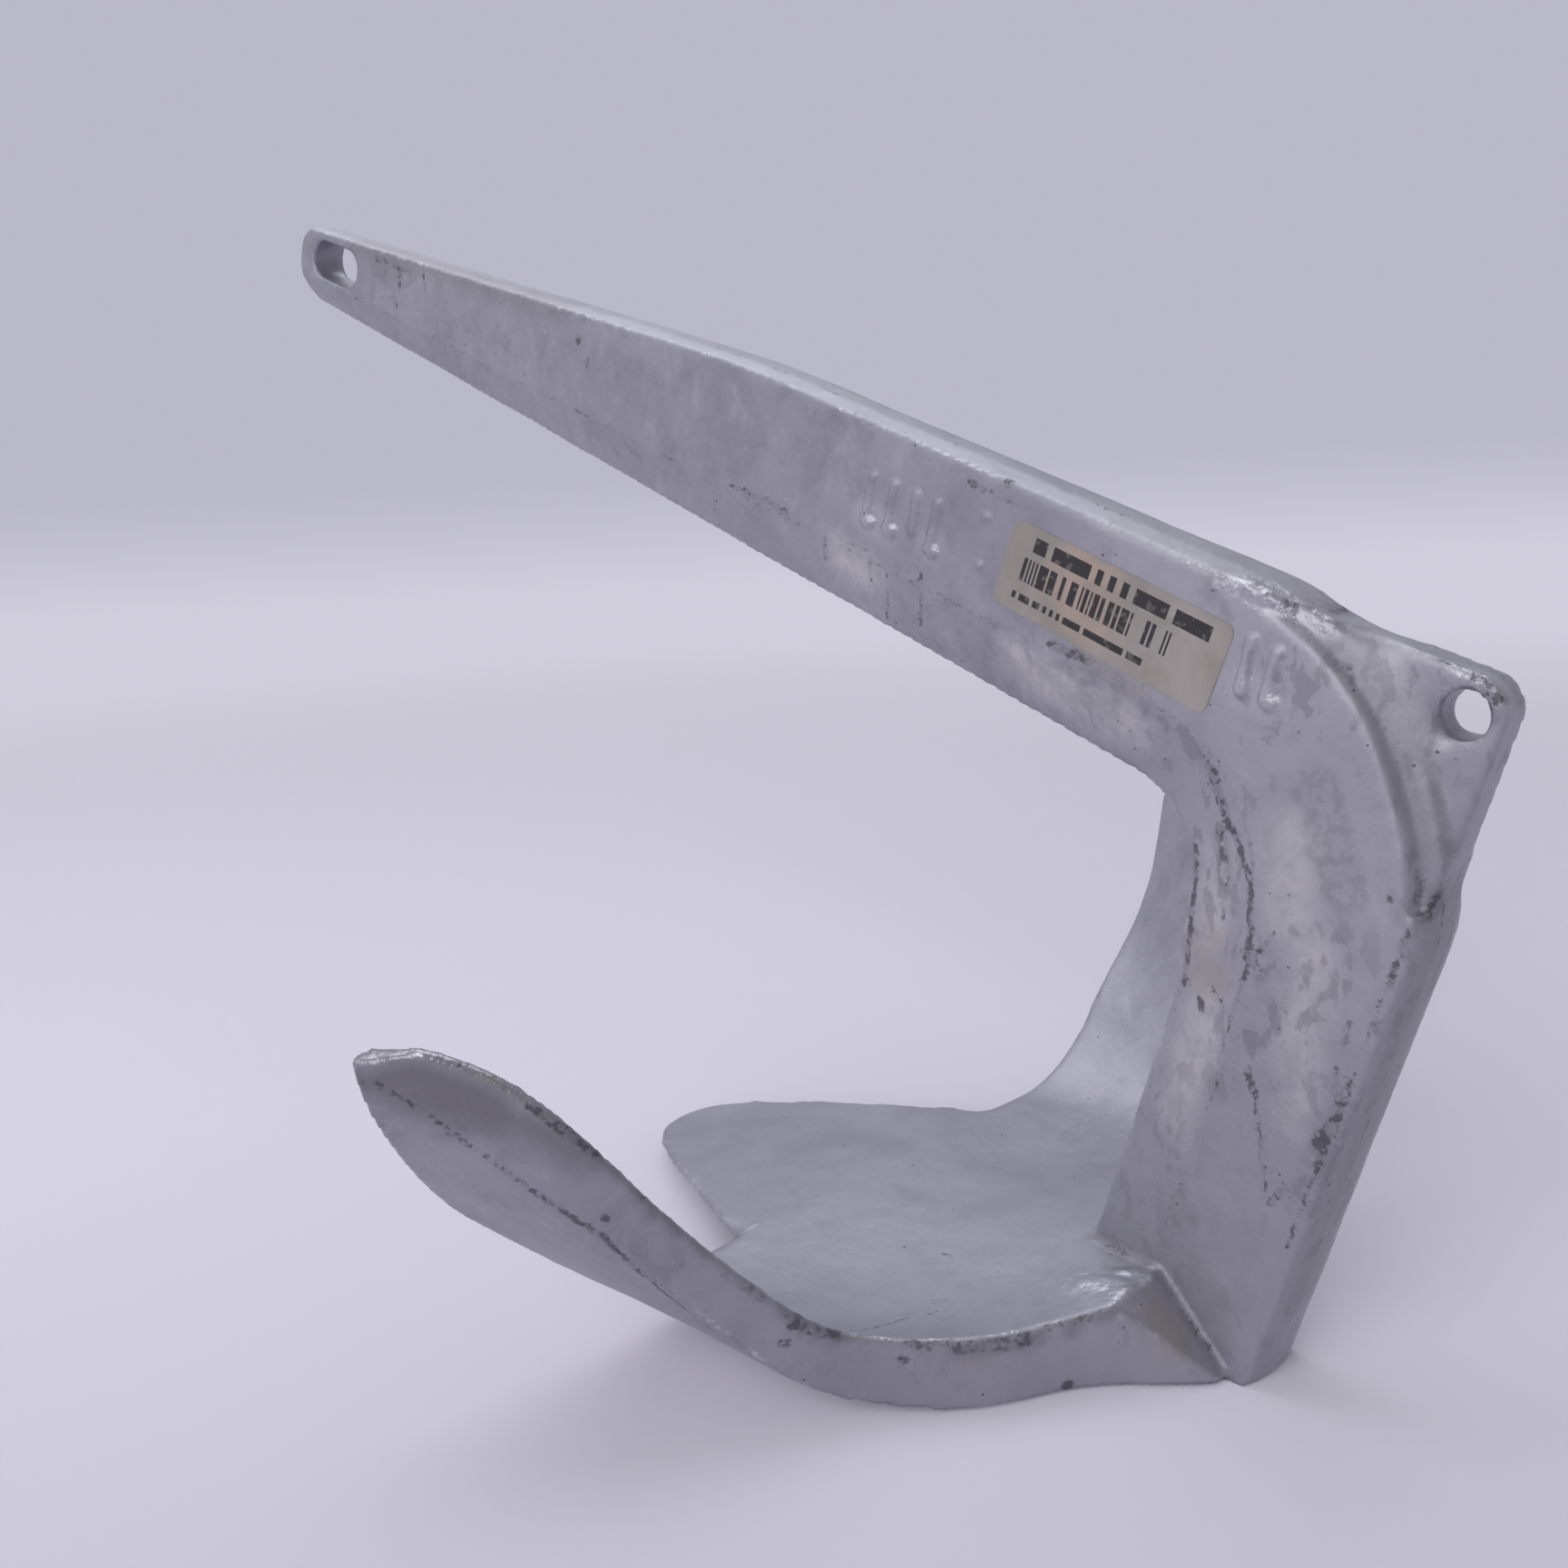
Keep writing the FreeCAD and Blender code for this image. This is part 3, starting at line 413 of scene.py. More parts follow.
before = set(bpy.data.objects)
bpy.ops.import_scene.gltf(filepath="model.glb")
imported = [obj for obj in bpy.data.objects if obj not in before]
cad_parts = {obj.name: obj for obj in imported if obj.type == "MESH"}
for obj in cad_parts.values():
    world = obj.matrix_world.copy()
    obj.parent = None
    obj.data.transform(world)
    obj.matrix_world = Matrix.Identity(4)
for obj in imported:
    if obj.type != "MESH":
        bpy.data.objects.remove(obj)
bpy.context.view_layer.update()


def pick(piece):
    """Leaves only this piece selected, and makes it active."""
    bpy.ops.object.select_all(action="DESELECT")
    piece.select_set(True)
    bpy.context.view_layer.objects.active = piece


def apply_modifier(piece, kind, **settings):
    """Adds a modifier with these settings and applies it."""
    pick(piece)
    modifier = piece.modifiers.new(kind.lower(), kind)
    for name, value in settings.items():
        setattr(modifier, name, value)
    bpy.ops.object.modifier_apply(modifier=modifier.name)


# Finishes


class Finish:
    """A material under construction, with its node tree."""

    def __init__(self, name):
        self.material = bpy.data.materials.new(name)
        self.material.use_nodes = True
        self.tree = self.material.node_tree
        self.shader = self.tree.nodes["Principled BSDF"]
        self.place = self.add("ShaderNodeTexCoord").outputs["Object"]

    def add(self, kind, **settings):
        """A new node with these settings."""
        made = self.tree.nodes.new(kind)
        for name, value in settings.items():
            setattr(made, name, value)
        return made

    def feed(self, socket, value):
        """Links another node's output to a socket, or sets a constant on it."""
        if isinstance(value, bpy.types.NodeSocket):
            self.tree.links.new(value, socket)
        else:
            socket.default_value = value

    def parts(self, vector):
        """The outputs X, Y and Z of a vector."""
        made = self.add("ShaderNodeSeparateXYZ")
        self.feed(made.inputs["Vector"], vector)
        return made.outputs

    def stretched(self, place, scale, turn):
        """A place turned and scaled, for a pattern drawn out in one direction."""
        mapping = self.add("ShaderNodeMapping")
        self.feed(mapping.inputs["Vector"], place)
        mapping.inputs["Rotation"].default_value = turn
        mapping.inputs["Scale"].default_value = scale
        return mapping.outputs["Vector"]

    def noise(self, place, scale, detail, roughness=0.5, distortion=0.0):
        """Cloudy noise with this many clouds to a metre."""
        made = self.add("ShaderNodeTexNoise")
        self.feed(made.inputs["Vector"], place)
        made.inputs["Scale"].default_value = scale
        made.inputs["Detail"].default_value = detail
        made.inputs["Roughness"].default_value = roughness
        made.inputs["Distortion"].default_value = distortion
        return made.outputs["Fac"]

    def spots(self, place, scale):
        """How far a place lies from the nearest of many scattered points."""
        made = self.add("ShaderNodeTexVoronoi")
        self.feed(made.inputs["Vector"], place)
        made.inputs["Scale"].default_value = scale
        return made.outputs["Distance"]

    def span(self, value, low, high, start=0.0, end=1.0):
        """Maps low..high of a value onto start..end with soft ends."""
        made = self.add("ShaderNodeMapRange", interpolation_type="SMOOTHSTEP")
        self.feed(made.inputs["Value"], value)
        made.inputs["From Min"].default_value = low
        made.inputs["From Max"].default_value = high
        made.inputs["To Min"].default_value = start
        made.inputs["To Max"].default_value = end
        return made.outputs["Result"]

    def reckon(self, operation, *values):
        """The result of one of the Math node's operations."""
        made = self.add("ShaderNodeMath", operation=operation)
        for socket, value in zip(made.inputs, values):
            self.feed(socket, value)
        return made.outputs["Value"]

    def times(self, one, other):
        """One value scaled by another."""
        return self.reckon("MULTIPLY", one, other)

    def plus(self, one, other):
        """Two values added."""
        return self.reckon("ADD", one, other)

    def larger(self, one, other):
        """The larger of two values."""
        return self.reckon("MAXIMUM", one, other)

    def blend(self, share, under, over):
        """A share of one colour laid over another."""
        made = self.add("ShaderNodeMix", data_type="RGBA")
        self.feed(made.inputs["Factor"], share)
        self.feed(made.inputs[MIX_UNDER], under)
        self.feed(made.inputs[MIX_OVER], over)
        return made.outputs[MIX_RESULT]

    def kept(self, name):
        """A number kept on the points of the mesh."""
        return self.add("ShaderNodeAttribute", attribute_name=name).outputs["Fac"]

    def mark(self, name, fade, shift=0.0):
        """The share of a kept kind of mark, with its outline shifted by a ragged edge."""
        low, high, share = fade
        return self.span(self.plus(self.kept(name), shift), low, high, share, 0.0)

    def near(self, middle, core, reach):
        """One within the core of a place on the piece, falling to nothing at its reach."""
        away = self.add("ShaderNodeVectorMath", operation="DISTANCE")
        self.feed(away.inputs[0], self.place)
        away.inputs[1].default_value = middle
        return self.span(away.outputs["Value"], core, reach, 1.0, 0.0)

    def bump(self, height, depth, under=None):
        """A normal roughened by this height, on top of another normal if one is given."""
        made = self.add("ShaderNodeBump")
        made.inputs["Distance"].default_value = depth
        self.feed(made.inputs["Height"], height)
        if under is not None:
            self.feed(made.inputs["Normal"], under)
        return made.outputs["Normal"]


def clouded_zinc(zinc, clouds, frost, wide_shift):
    """The zinc's colour: clouds, frost and flakes, pale patches that are partly painted light,
    painted shade on listed areas and on upward faces, and painted light from the elbow on.
    """
    at = zinc.parts(zinc.place)
    facing = zinc.parts(zinc.add("ShaderNodeNewGeometry").outputs["Normal"])
    colour = zinc.blend(zinc.span(clouds, 0.36, 0.66), ZINC_DEEP, ZINC_PLAIN)

    above_palm = zinc.span(at["Z"], 0.03, 0.11, 0.6, 1.0)
    darker = zinc.times(zinc.span(frost, 0.34, 0.50, 0.36, 0.0), above_palm)
    lighter = zinc.times(zinc.span(frost, 0.52, 0.68, 0.0, 0.4), above_palm)
    colour = zinc.blend(darker, colour, ZINC_DARK)
    colour = zinc.blend(lighter, colour, ZINC_LIGHT)

    # Pale zinc, and painted light on the bevel.
    pale = zinc.mark("pale_away", PALE_FADE, wide_shift)
    pale = zinc.times(pale, zinc.span(frost, 0.40, 0.60, 0.5, 1.0))
    # Painted shade on the listed areas.
    painted_shade = zinc.mark("painted_shade_away", PAINTED_SHADE_FADE, wide_shift)
    # Painted light: the zinc is drawn lighter from the elbow on, standing in for the light that the
    # arm takes.
    elbow_painted_light = zinc.span(at["X"], 0.12, 0.20, 0.0, 0.32)
    # Painted shade: faces that turn upward are drawn darker, standing in for the shade of the shank
    # and horns above them.
    upward_shade = zinc.span(facing["Z"], 0.45, 0.98, 0.0, 0.42)
    colour = zinc.blend(pale, colour, ZINC_PALE)
    colour = zinc.blend(painted_shade, colour, ZINC_PAINTED_SHADE)
    colour = zinc.blend(elbow_painted_light, colour, ELBOW_PAINTED_LIGHT)
    colour = zinc.blend(upward_shade, colour, ZINC_DARK)

    strokes = zinc.stretched(zinc.place, FLAKE_STRETCH, FLAKE_TURN)
    flakes = zinc.noise(strokes, *ZINC_FLAKES)
    where_flaky = zinc.span(zinc.noise(zinc.place, *FLAKY_AREAS), 0.42, 0.58, 0.2, 1.0)
    where_flaky = zinc.times(where_flaky, zinc.span(at["X"], 0.10, 0.19, 0.3, 1.0))
    flaky = zinc.times(zinc.span(flakes, 0.54, 0.62), where_flaky)
    flaky = zinc.times(zinc.times(flaky, above_palm), 0.4)
    return zinc.blend(flaky, colour, FLAKE_GREY)


def stained_zinc(zinc, colour, frost, blotches, shift, wide_shift):
    """The zinc's colour with smudges, a band of painted shade beside the lug, rusty patches, and
    painted shade along its grooves.
    """
    # Smudges, and painted shade in the groove beside the lug.
    smudge_and_shade = zinc.mark("smudge_and_shade_away", SMUDGE_AND_SHADE_FADE, shift)
    smudge_and_shade = zinc.times(smudge_and_shade, zinc.span(blotches, 0.0, 1.0, 0.3, 1.0))
    rusty = zinc.mark("rusty_away", RUSTY_FADE, wide_shift)
    rusty = zinc.times(rusty, zinc.span(frost, 0.42, 0.58, 0.3, 1.0))
    # Painted shade: a soft darkening along every inward crease.
    groove_shade = zinc.mark("groove_away", GROOVE_SHADE_FADE)
    colour = zinc.blend(smudge_and_shade, colour, SMUDGE_AND_SHADE_GREY)
    colour = zinc.blend(rusty, colour, RUST_STAIN)
    return zinc.blend(groove_shade, colour, GROOVE_SHADE)


def dark_dross_and_shade(zinc, blotches, shift):
    """Where dross lies dark, in grooves, on ridges, along the dark runs and in specks, and painted
    shade along the run beside the gusset's ridge.
    """
    patchy = zinc.span(zinc.noise(zinc.place, *DROSS_PATCHES), 0.50, 0.60)
    groove = zinc.mark("groove_away", GROOVE_FADE, shift)
    ridge = zinc.mark("ridge_away", RIDGE_FADE, shift)
    on_creases = zinc.times(zinc.larger(groove, ridge), patchy)
    on_runs = zinc.mark("dark_away", DARK_RUN_FADE, shift)
    on_runs = zinc.times(on_runs, zinc.span(blotches, 0.0, 0.6, 0.25, 1.0))
    specks = zinc.plus(zinc.spots(zinc.place, SPECKS_TO_METRE), zinc.times(shift, 0.07))
    specks = zinc.span(specks, 0.03, 0.13, 0.8, 0.0)
    specks = zinc.times(specks, zinc.span(zinc.noise(zinc.place, *SPECK_AREAS), 0.54, 0.62))
    return zinc.larger(on_creases, zinc.larger(on_runs, specks))


def zinc_relief(zinc, raised, dark):
    """The zinc's fine relief: waves, lumps that are higher where raised, sand, and pitted dross."""
    wavy = zinc.bump(zinc.noise(zinc.place, *WAVY_RELIEF), WAVY_DEPTH)
    lumpy = zinc.noise(zinc.place, *LUMPY_RELIEF)
    lumpy = zinc.times(lumpy, zinc.plus(1.0, zinc.times(raised, 3.0)))
    lumpy = zinc.bump(lumpy, LUMPY_DEPTH, wavy)
    sandy = zinc.bump(zinc.noise(zinc.place, *SANDY_RELIEF), SANDY_DEPTH, lumpy)
    return zinc.bump(zinc.reckon("SUBTRACT", 1.0, dark), PITTED_DEPTH, sandy)


def galvanised_steel():
    """Satin zinc over cast steel, clouded and flaky, with dross in its creases, painted shade in
    its grooves and hollows, and painted light and glints.
    """
    zinc = Finish("galvanised_steel")
    ragged = zinc.noise(zinc.place, *RAGGED_EDGES)
    shift = zinc.times(zinc.reckon("SUBTRACT", ragged, 0.5), RAGGEDNESS)
    wide_shift = zinc.times(shift, 2.0)
    clouds = zinc.noise(zinc.place, *ZINC_CLOUDS)
    frost = zinc.noise(zinc.place, *ZINC_FROST)
    blotches = zinc.span(zinc.noise(zinc.place, *ZINC_BLOTCHES), 0.42, 0.60)

    colour = clouded_zinc(zinc, clouds, frost, wide_shift)
    colour = stained_zinc(zinc, colour, frost, blotches, shift, wide_shift)
    dark = dark_dross_and_shade(zinc, blotches, shift)
    colour = zinc.blend(dark, colour, DROSS_AND_SHADE)

    free_of_dark = zinc.span(dark, 0.0, 0.5, 1.0, 0.0)
    # Edges rubbed bright, with a painted glint: sharp outward edges are drawn lighter.
    worn_and_glint = zinc.mark("rim_away", WORN_AND_GLINT_FADE, shift)
    where_worn_and_glint = zinc.noise(zinc.place, *WORN_AND_GLINT_PATCHES)
    worn_and_glint = zinc.times(worn_and_glint, zinc.span(where_worn_and_glint, 0.46, 0.60))
    worn_and_glint = zinc.times(worn_and_glint, free_of_dark)
    lumps = zinc.mark("bright_away", LUMP_FADE)
    # Painted glint: the zinc lumps are drawn lighter.
    painted_glint = zinc.times(zinc.times(lumps, 0.2), free_of_dark)
    colour = zinc.blend(zinc.times(worn_and_glint, 0.5), colour, ZINC_WORN_AND_GLINT)
    colour = zinc.blend(painted_glint, colour, ZINC_PAINTED_GLINT)

    roughness = zinc.span(clouds, 0.3, 0.7, 0.44, 0.52)
    for where, change in ((dark, 0.2), (worn_and_glint, -0.18), (lumps, -0.18)):
        roughness = zinc.plus(roughness, zinc.times(where, change))
    zinc.feed(zinc.shader.inputs["Base Color"], colour)
    zinc.feed(zinc.shader.inputs["Roughness"], roughness)
    zinc.feed(zinc.shader.inputs["Metallic"], 0.65)
    zinc.feed(zinc.shader.inputs["Normal"], zinc_relief(zinc, zinc.larger(worn_and_glint, lumps), dark))
    return zinc.material


def printed_row(paper, sheet, bottom, top, columns, inked, left, right):
    """A row of upright printed bars between two heights of the sheet."""
    chance = paper.add("ShaderNodeTexWhiteNoise", noise_dimensions="1D")
    paper.feed(chance.inputs["W"], paper.reckon("FLOOR", paper.times(sheet["X"], columns)))
    row = paper.reckon("LESS_THAN", chance.outputs["Value"], inked)
    row = paper.times(row, paper.span(sheet["Y"], bottom, bottom + PRINT_EDGE_UP))
    row = paper.times(row, paper.span(sheet["Y"], top, top + PRINT_EDGE_UP, 1.0, 0.0))
    row = paper.times(row, paper.span(sheet["X"], left, left + PRINT_EDGE_ALONG))
    return paper.times(row, paper.span(sheet["X"], right, right + PRINT_EDGE_ALONG, 1.0, 0.0))


def sticker_paper():
    """Matte label paper with plain printed bars and a damp stain."""
    paper = Finish("label_paper")
    sheet = paper.parts(paper.add("ShaderNodeUVMap", uv_map="sheet").outputs["UV"])
    damp = paper.noise(paper.place, *DAMP_PAPER)
    stain = paper.near(STAIN_MIDDLE, STAIN_CORE, STAIN_REACH)
    stain = paper.times(paper.times(stain, paper.span(damp, 0.3, 0.6)), 0.45)
    ink = 0.0
    for row in PRINTED_ROWS:
        ink = paper.larger(ink, printed_row(paper, sheet, *row))
    faded = paper.noise(paper.place, *FADED_INK)
    ink = paper.times(ink, paper.span(faded, 0.35, 0.5, 0.72, 1.15))

    colour = paper.blend(paper.span(damp, 0.35, 0.7), LABEL_DARK, LABEL_PALE)
    colour = paper.blend(stain, colour, DAMP_STAIN)
    colour = paper.blend(ink, colour, PRINTING_INK)
    paper.feed(paper.shader.inputs["Base Color"], colour)
    paper.feed(paper.shader.inputs["Roughness"], 0.72)
    paper.feed(paper.shader.inputs["Normal"], paper.bump(damp, PAPER_DEPTH))
    return paper.material


def studio_paper():
    """Matte pale paper: a lit floor near the anchor, drawn darker toward the camera as painted
    shade, and an even pale backdrop farther off.
    """
    paper = Finish("studio_paper")
    # Painted shade: the floor is drawn darker toward the camera, standing in for the light falling
    # off there.
    depth = paper.add("ShaderNodeVectorMath", operation="DOT_PRODUCT")
    paper.feed(depth.inputs[0], paper.place)
    depth.inputs[1].default_value = AWAY_ON_FLOOR
    floor = paper.blend(paper.span(depth.outputs["Value"], -0.42, 0.1), FLOOR_NEAR, FLOOR_FAR)
    paper.feed(paper.shader.inputs["Base Color"], floor)
    paper.feed(paper.shader.inputs["Roughness"], 0.9)
    paper.feed(paper.shader.inputs["Specular IOR Level"], 0.1)

    height = paper.parts(paper.place)["Z"]
    glow = paper.add("ShaderNodeEmission")
    paper.feed(glow.inputs["Color"],
               paper.blend(paper.span(height, 0.0, 0.3), BACKDROP_FOOT, BACKDROP_TOP))
    away = paper.add("ShaderNodeVectorMath", operation="LENGTH")
    paper.feed(away.inputs[0], paper.place)
    seen = paper.add("ShaderNodeLightPath")
    shown = paper.larger(seen.outputs["Is Camera Ray"], seen.outputs["Is Glossy Ray"])
    share = paper.times(shown, paper.span(away.outputs["Value"], 0.55, 1.9))
    mixed = paper.add("ShaderNodeMixShader")
    paper.feed(mixed.inputs["Fac"], share)
    paper.feed(mixed.inputs[1], paper.shader.outputs["BSDF"])
    paper.feed(mixed.inputs[2], glow.outputs["Emission"])
    paper.feed(paper.tree.nodes["Material Output"].inputs["Surface"], mixed.outputs["Shader"])
    return paper.material


# Pieces


def point_array(mesh, name):
    """One vector for each point of a mesh, as rows of numbers."""
    values = numpy.empty(len(mesh.vertices) * 3)
    mesh.vertices.foreach_get(name, values)
    return values.reshape(-1, 3)


def distance_to_run(points, start, end):
    """How far points lie from the straight run between two places given in millimetres."""
    first = numpy.array(start) * MM
    along = numpy.array(end) * MM - first
    share = (points - first) @ along / max(along @ along, SHORTEST_RUN ** 2)
    nearest = first + numpy.clip(share, 0.0, 1.0)[:, None] * along
    return numpy.linalg.norm(points - nearest, axis=1) / MM


def keep(mesh, name, value):
    """Keeps one number for each point of a mesh, for its finish to read."""
    kept = mesh.attributes.new(name, "FLOAT", "POINT")
    kept.data.foreach_set("value", value)


def keep_marks(piece, name, runs):
    """Keeps how far each point lies outside the nearest of these marks, in millimetres."""
    points = point_array(piece.data, "co")
    away = numpy.full(len(points), FARTHEST_KEPT)
    for start, end, half_width in runs:
        away = numpy.minimum(away, distance_to_run(points, start, end) - half_width)
    keep(piece.data, name, away)


def crease_kind(turn, at):
    """The kind of a crease that turns like this at a place, or None where it stays plain."""
    on_joint = at.x < SMOOTH_JOINT_FRONT and at.z < SMOOTH_JOINT_TOP
    on_joint_line = all(low < part < high for low, part, high
                        in zip(JOINT_LINE_LOW, at, JOINT_LINE_HIGH))
    on_lug = at.x > LUG_FRONT and abs(at.y) < LUG_DEPTH
    by_lug = at.x > ROLLED_EDGE_FRONT and at.z > ROLLED_EDGE_FOOT
    toward_rear = at.x - LUG_REAR_SLOPE * at.z
    if on_joint_line or (on_joint and FAINT_CREASE < abs(turn) < SHARP_EDGE):
        return "soft_joint"
    if abs(turn) < LEAST_CREASE:
        return None
    if turn < 0 and on_lug:
        return None if toward_rear > LUG_REAR else "soft_step"
    if turn < 0:
        return "groove_away"
    if turn < SHARP_EDGE:
        return "ridge_away"
    if by_lug and abs(at.y) > LUG_DEPTH:
        return "rolled_edge"
    if toward_rear > DULL_CORNER and at.z < DULL_CORNER_TOP:
        return None
    return "rim_away"


def creases(piece):
    """Places along a casting's creases, about a millimetre apart, sorted by kind."""
    shape = bmesh.new()
    shape.from_mesh(piece.data)
    found = {kind: [] for kind in (*KEPT_CREASES, *SOFT_CREASES)}
    for edge in shape.edges:
        if len(edge.link_faces) != 2:
            continue
        start, end = (v.co for v in edge.verts)
        kind = crease_kind(edge.calc_face_angle_signed(), (start + end) / 2)
        if kind is None:
            continue
        steps = max(1, round((end - start).length / MM))
        found[kind] += [start.lerp(end, step / steps) for step in range(steps + 1)]
    shape.free()
    return found


def distance_to_places(piece, places):
    """How far each point of a piece lies from the nearest of these places, in millimetres."""
    tree = KDTree(len(places))
    for index, place in enumerate(places):
        tree.insert(place, index)
    tree.balance()
    return [min(tree.find(v.co)[2] / MM, FARTHEST_KEPT) for v in piece.data.vertices]


def soften_near(piece, places, reach, rounds):
    """Rubs down the surface within reach of these places."""
    soft = piece.vertex_groups.new(name="soft")
    for index, away in enumerate(distance_to_places(piece, places)):
        if away < reach:
            soft.add([index], 1.0 - (away / reach) ** 2, "REPLACE")
    apply_modifier(piece, "SMOOTH", factor=RUBBING, iterations=rounds, vertex_group="soft")
    piece.vertex_groups.clear()


def wave(piece, name, length, height, depth=2, level=0.5):
    """Lets the surface rise and sink in soft waves of this length and height."""
    clouds = bpy.data.textures.new(name, "CLOUDS")
    clouds.noise_scale = length
    clouds.noise_depth = depth
    apply_modifier(piece, "DISPLACE", texture=clouds, texture_coords="LOCAL", strength=height,
                   mid_level=level)


def raise_marks(piece, marks):
    """Swells the surface into low rounded bars and lumps."""
    points = point_array(piece.data, "co")
    normals = point_array(piece.data, "normal")
    rise = numpy.zeros(len(points))
    for start, end, half_width, height in marks:
        away = distance_to_run(points, start, end) / half_width
        rise = numpy.maximum(rise, height * numpy.sqrt(numpy.clip(1.0 - away ** 2, 0.0, 1.0)))
    points = points + normals * rise[:, None] * MM
    piece.data.vertices.foreach_set("co", points.ravel())
    piece.data.update()


def refine_near(piece, marks, margin):
    """Halves the faces round these marks, so that small raised forms stay crisp."""
    mesh = piece.data
    centres = numpy.empty(len(mesh.polygons) * 3)
    mesh.polygons.foreach_get("center", centres)
    centres = centres.reshape(-1, 3)
    close = numpy.zeros(len(centres), dtype=bool)
    for start, end, half_width, _ in marks:
        close |= distance_to_run(centres, start, end) < half_width + margin
    pick(piece)
    bpy.ops.object.mode_set(mode="EDIT")
    bpy.ops.mesh.select_mode(type="FACE")
    bpy.ops.mesh.select_all(action="DESELECT")
    bpy.ops.object.mode_set(mode="OBJECT")
    mesh.polygons.foreach_set("select", close)
    bpy.ops.object.mode_set(mode="EDIT")
    bpy.ops.mesh.subdivide(number_cuts=1)
    bpy.ops.object.mode_set(mode="OBJECT")


def draw_back(piece, original, share):
    """Moves each point part of the way back to the surface that it was made from."""
    surface = BVHTree.FromObject(original, bpy.context.evaluated_depsgraph_get())
    for point in piece.data.vertices:
        point.co = point.co.lerp(surface.find_nearest(point.co)[0], share)
    piece.data.update()


def keep_within(piece, low, high):
    """Presses points that stand past the casting's own box back to it."""
    points = point_array(piece.data, "co")
    piece.data.vertices.foreach_set("co", numpy.clip(points, low, high).ravel())
    piece.data.update()


def merged_copy(node, name):
    """A copy of a CAD node's mesh with its seams closed."""
    pick(node)
    bpy.ops.object.duplicate()
    copy = bpy.context.object
    copy.name = name
    bpy.ops.object.mode_set(mode="EDIT")
    bpy.ops.mesh.select_all(action="SELECT")
    bpy.ops.mesh.remove_doubles(threshold=SEAM_GAP)
    bpy.ops.object.mode_set(mode="OBJECT")
    return copy


def zinc_skin(node, finish):
    """The casting with the soft corners, lumps and shallow waves of a galvanised casting."""
    skin = merged_copy(node, "zinc_skin")
    found = creases(skin)
    apply_modifier(skin, "REMESH", mode="VOXEL", voxel_size=SKIN_VOXEL, adaptivity=0.0)
    skin.vertex_groups.clear()
    for factor in SMOOTHING:
        apply_modifier(skin, "SMOOTH", factor=factor, iterations=1)
    draw_back(skin, node, SHARE_DRAWN_BACK)
    for kind, (reach, rounds) in SOFT_CREASES.items():
        soften_near(skin, found[kind], reach, rounds)
    wave(skin, "casting_waves", WAVE_LENGTH, WAVE_HEIGHT, depth=1)
    wave(skin, "zinc_ripples", RIPPLE_LENGTH, RIPPLE_HEIGHT)
    refine_near(skin, FOUNDRY_BARS, REFINED_MARGIN)
    raise_marks(skin, FOUNDRY_BARS + CASTING_LUMPS)
    keep_within(skin, *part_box("anchor_casting"))
    for name in KEPT_CREASES:
        keep(skin.data, name, distance_to_places(skin, found[name]))
    for name, runs in KEPT_MARKS.items():
        keep_marks(skin, name, runs)
    pick(skin)
    bpy.ops.object.shade_smooth()
    skin.data.materials.clear()
    skin.data.materials.append(finish)
    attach(skin, "root")
    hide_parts("anchor_casting")
    return skin


def round_corners(mesh):
    """Brings a square grid to the sticker's size and draws its corners in to a rounding."""
    half_length = STICKER_LENGTH / 2 - STICKER_ROUNDING
    half_width = STICKER_WIDTH / 2 - STICKER_ROUNDING
    for point in mesh.vertices:
        x = point.co.x * STICKER_LENGTH
        y = point.co.y * STICKER_WIDTH
        past = Vector((max(abs(x) - half_length, 0.0), max(abs(y) - half_width, 0.0)))
        if past.x > 0 and past.y > 0:
            past = past * (max(past) / past.length)
            x = math.copysign(half_length + past.x, x)
            y = math.copysign(half_width + past.y, y)
        point.co = (x, y, 0.0)


def sticker(backing, finish):
    """A thin paper sheet with rounded corners and slight wrinkles, laid on the shank."""
    bpy.ops.object.select_all(action="DESELECT")
    bpy.ops.mesh.primitive_grid_add(x_subdivisions=STICKER_COLUMNS, y_subdivisions=STICKER_ROWS,
                                    size=1.0)
    sheet = bpy.context.object
    sheet.name = "paper_sticker"
    mesh = sheet.data
    round_corners(mesh)
    mapped = mesh.uv_layers[0]
    mapped.name = "sheet"
    for loop in mesh.loops:
        co = mesh.vertices[loop.vertex_index].co
        mapped.data[loop.index].uv = (co.x / STICKER_LENGTH + 0.5, co.y / STICKER_WIDTH + 0.5)
    turn = (Matrix.Rotation(-STICKER_LEAN, 4, "Z") @ Matrix.Rotation(math.pi / 2, 4, "X")
            @ Matrix.Rotation(-STICKER_SLOPE, 4, "Z"))
    mesh.transform(Matrix.Translation(STICKER_MIDDLE) @ turn)
    apply_modifier(sheet, "SHRINKWRAP", target=backing, wrap_method="NEAREST_SURFACEPOINT",
                   wrap_mode="ABOVE_SURFACE", offset=STICKER_LIFT)
    wave(sheet, "paper_wrinkles", WRINKLE_LENGTH, WRINKLE_HEIGHT, level=0.3)
    apply_modifier(sheet, "SOLIDIFY", thickness=STICKER_THICKNESS, offset=-1.0)
    pick(sheet)
    bpy.ops.object.shade_smooth_by_angle(angle=STICKER_FOLD)
    mesh.materials.clear()
    mesh.materials.append(finish)
    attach(sheet, "root")
    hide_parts("label")


skin = zinc_skin(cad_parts["anchor_casting"], galvanised_steel())
sticker(skin, sticker_paper())


# Studio


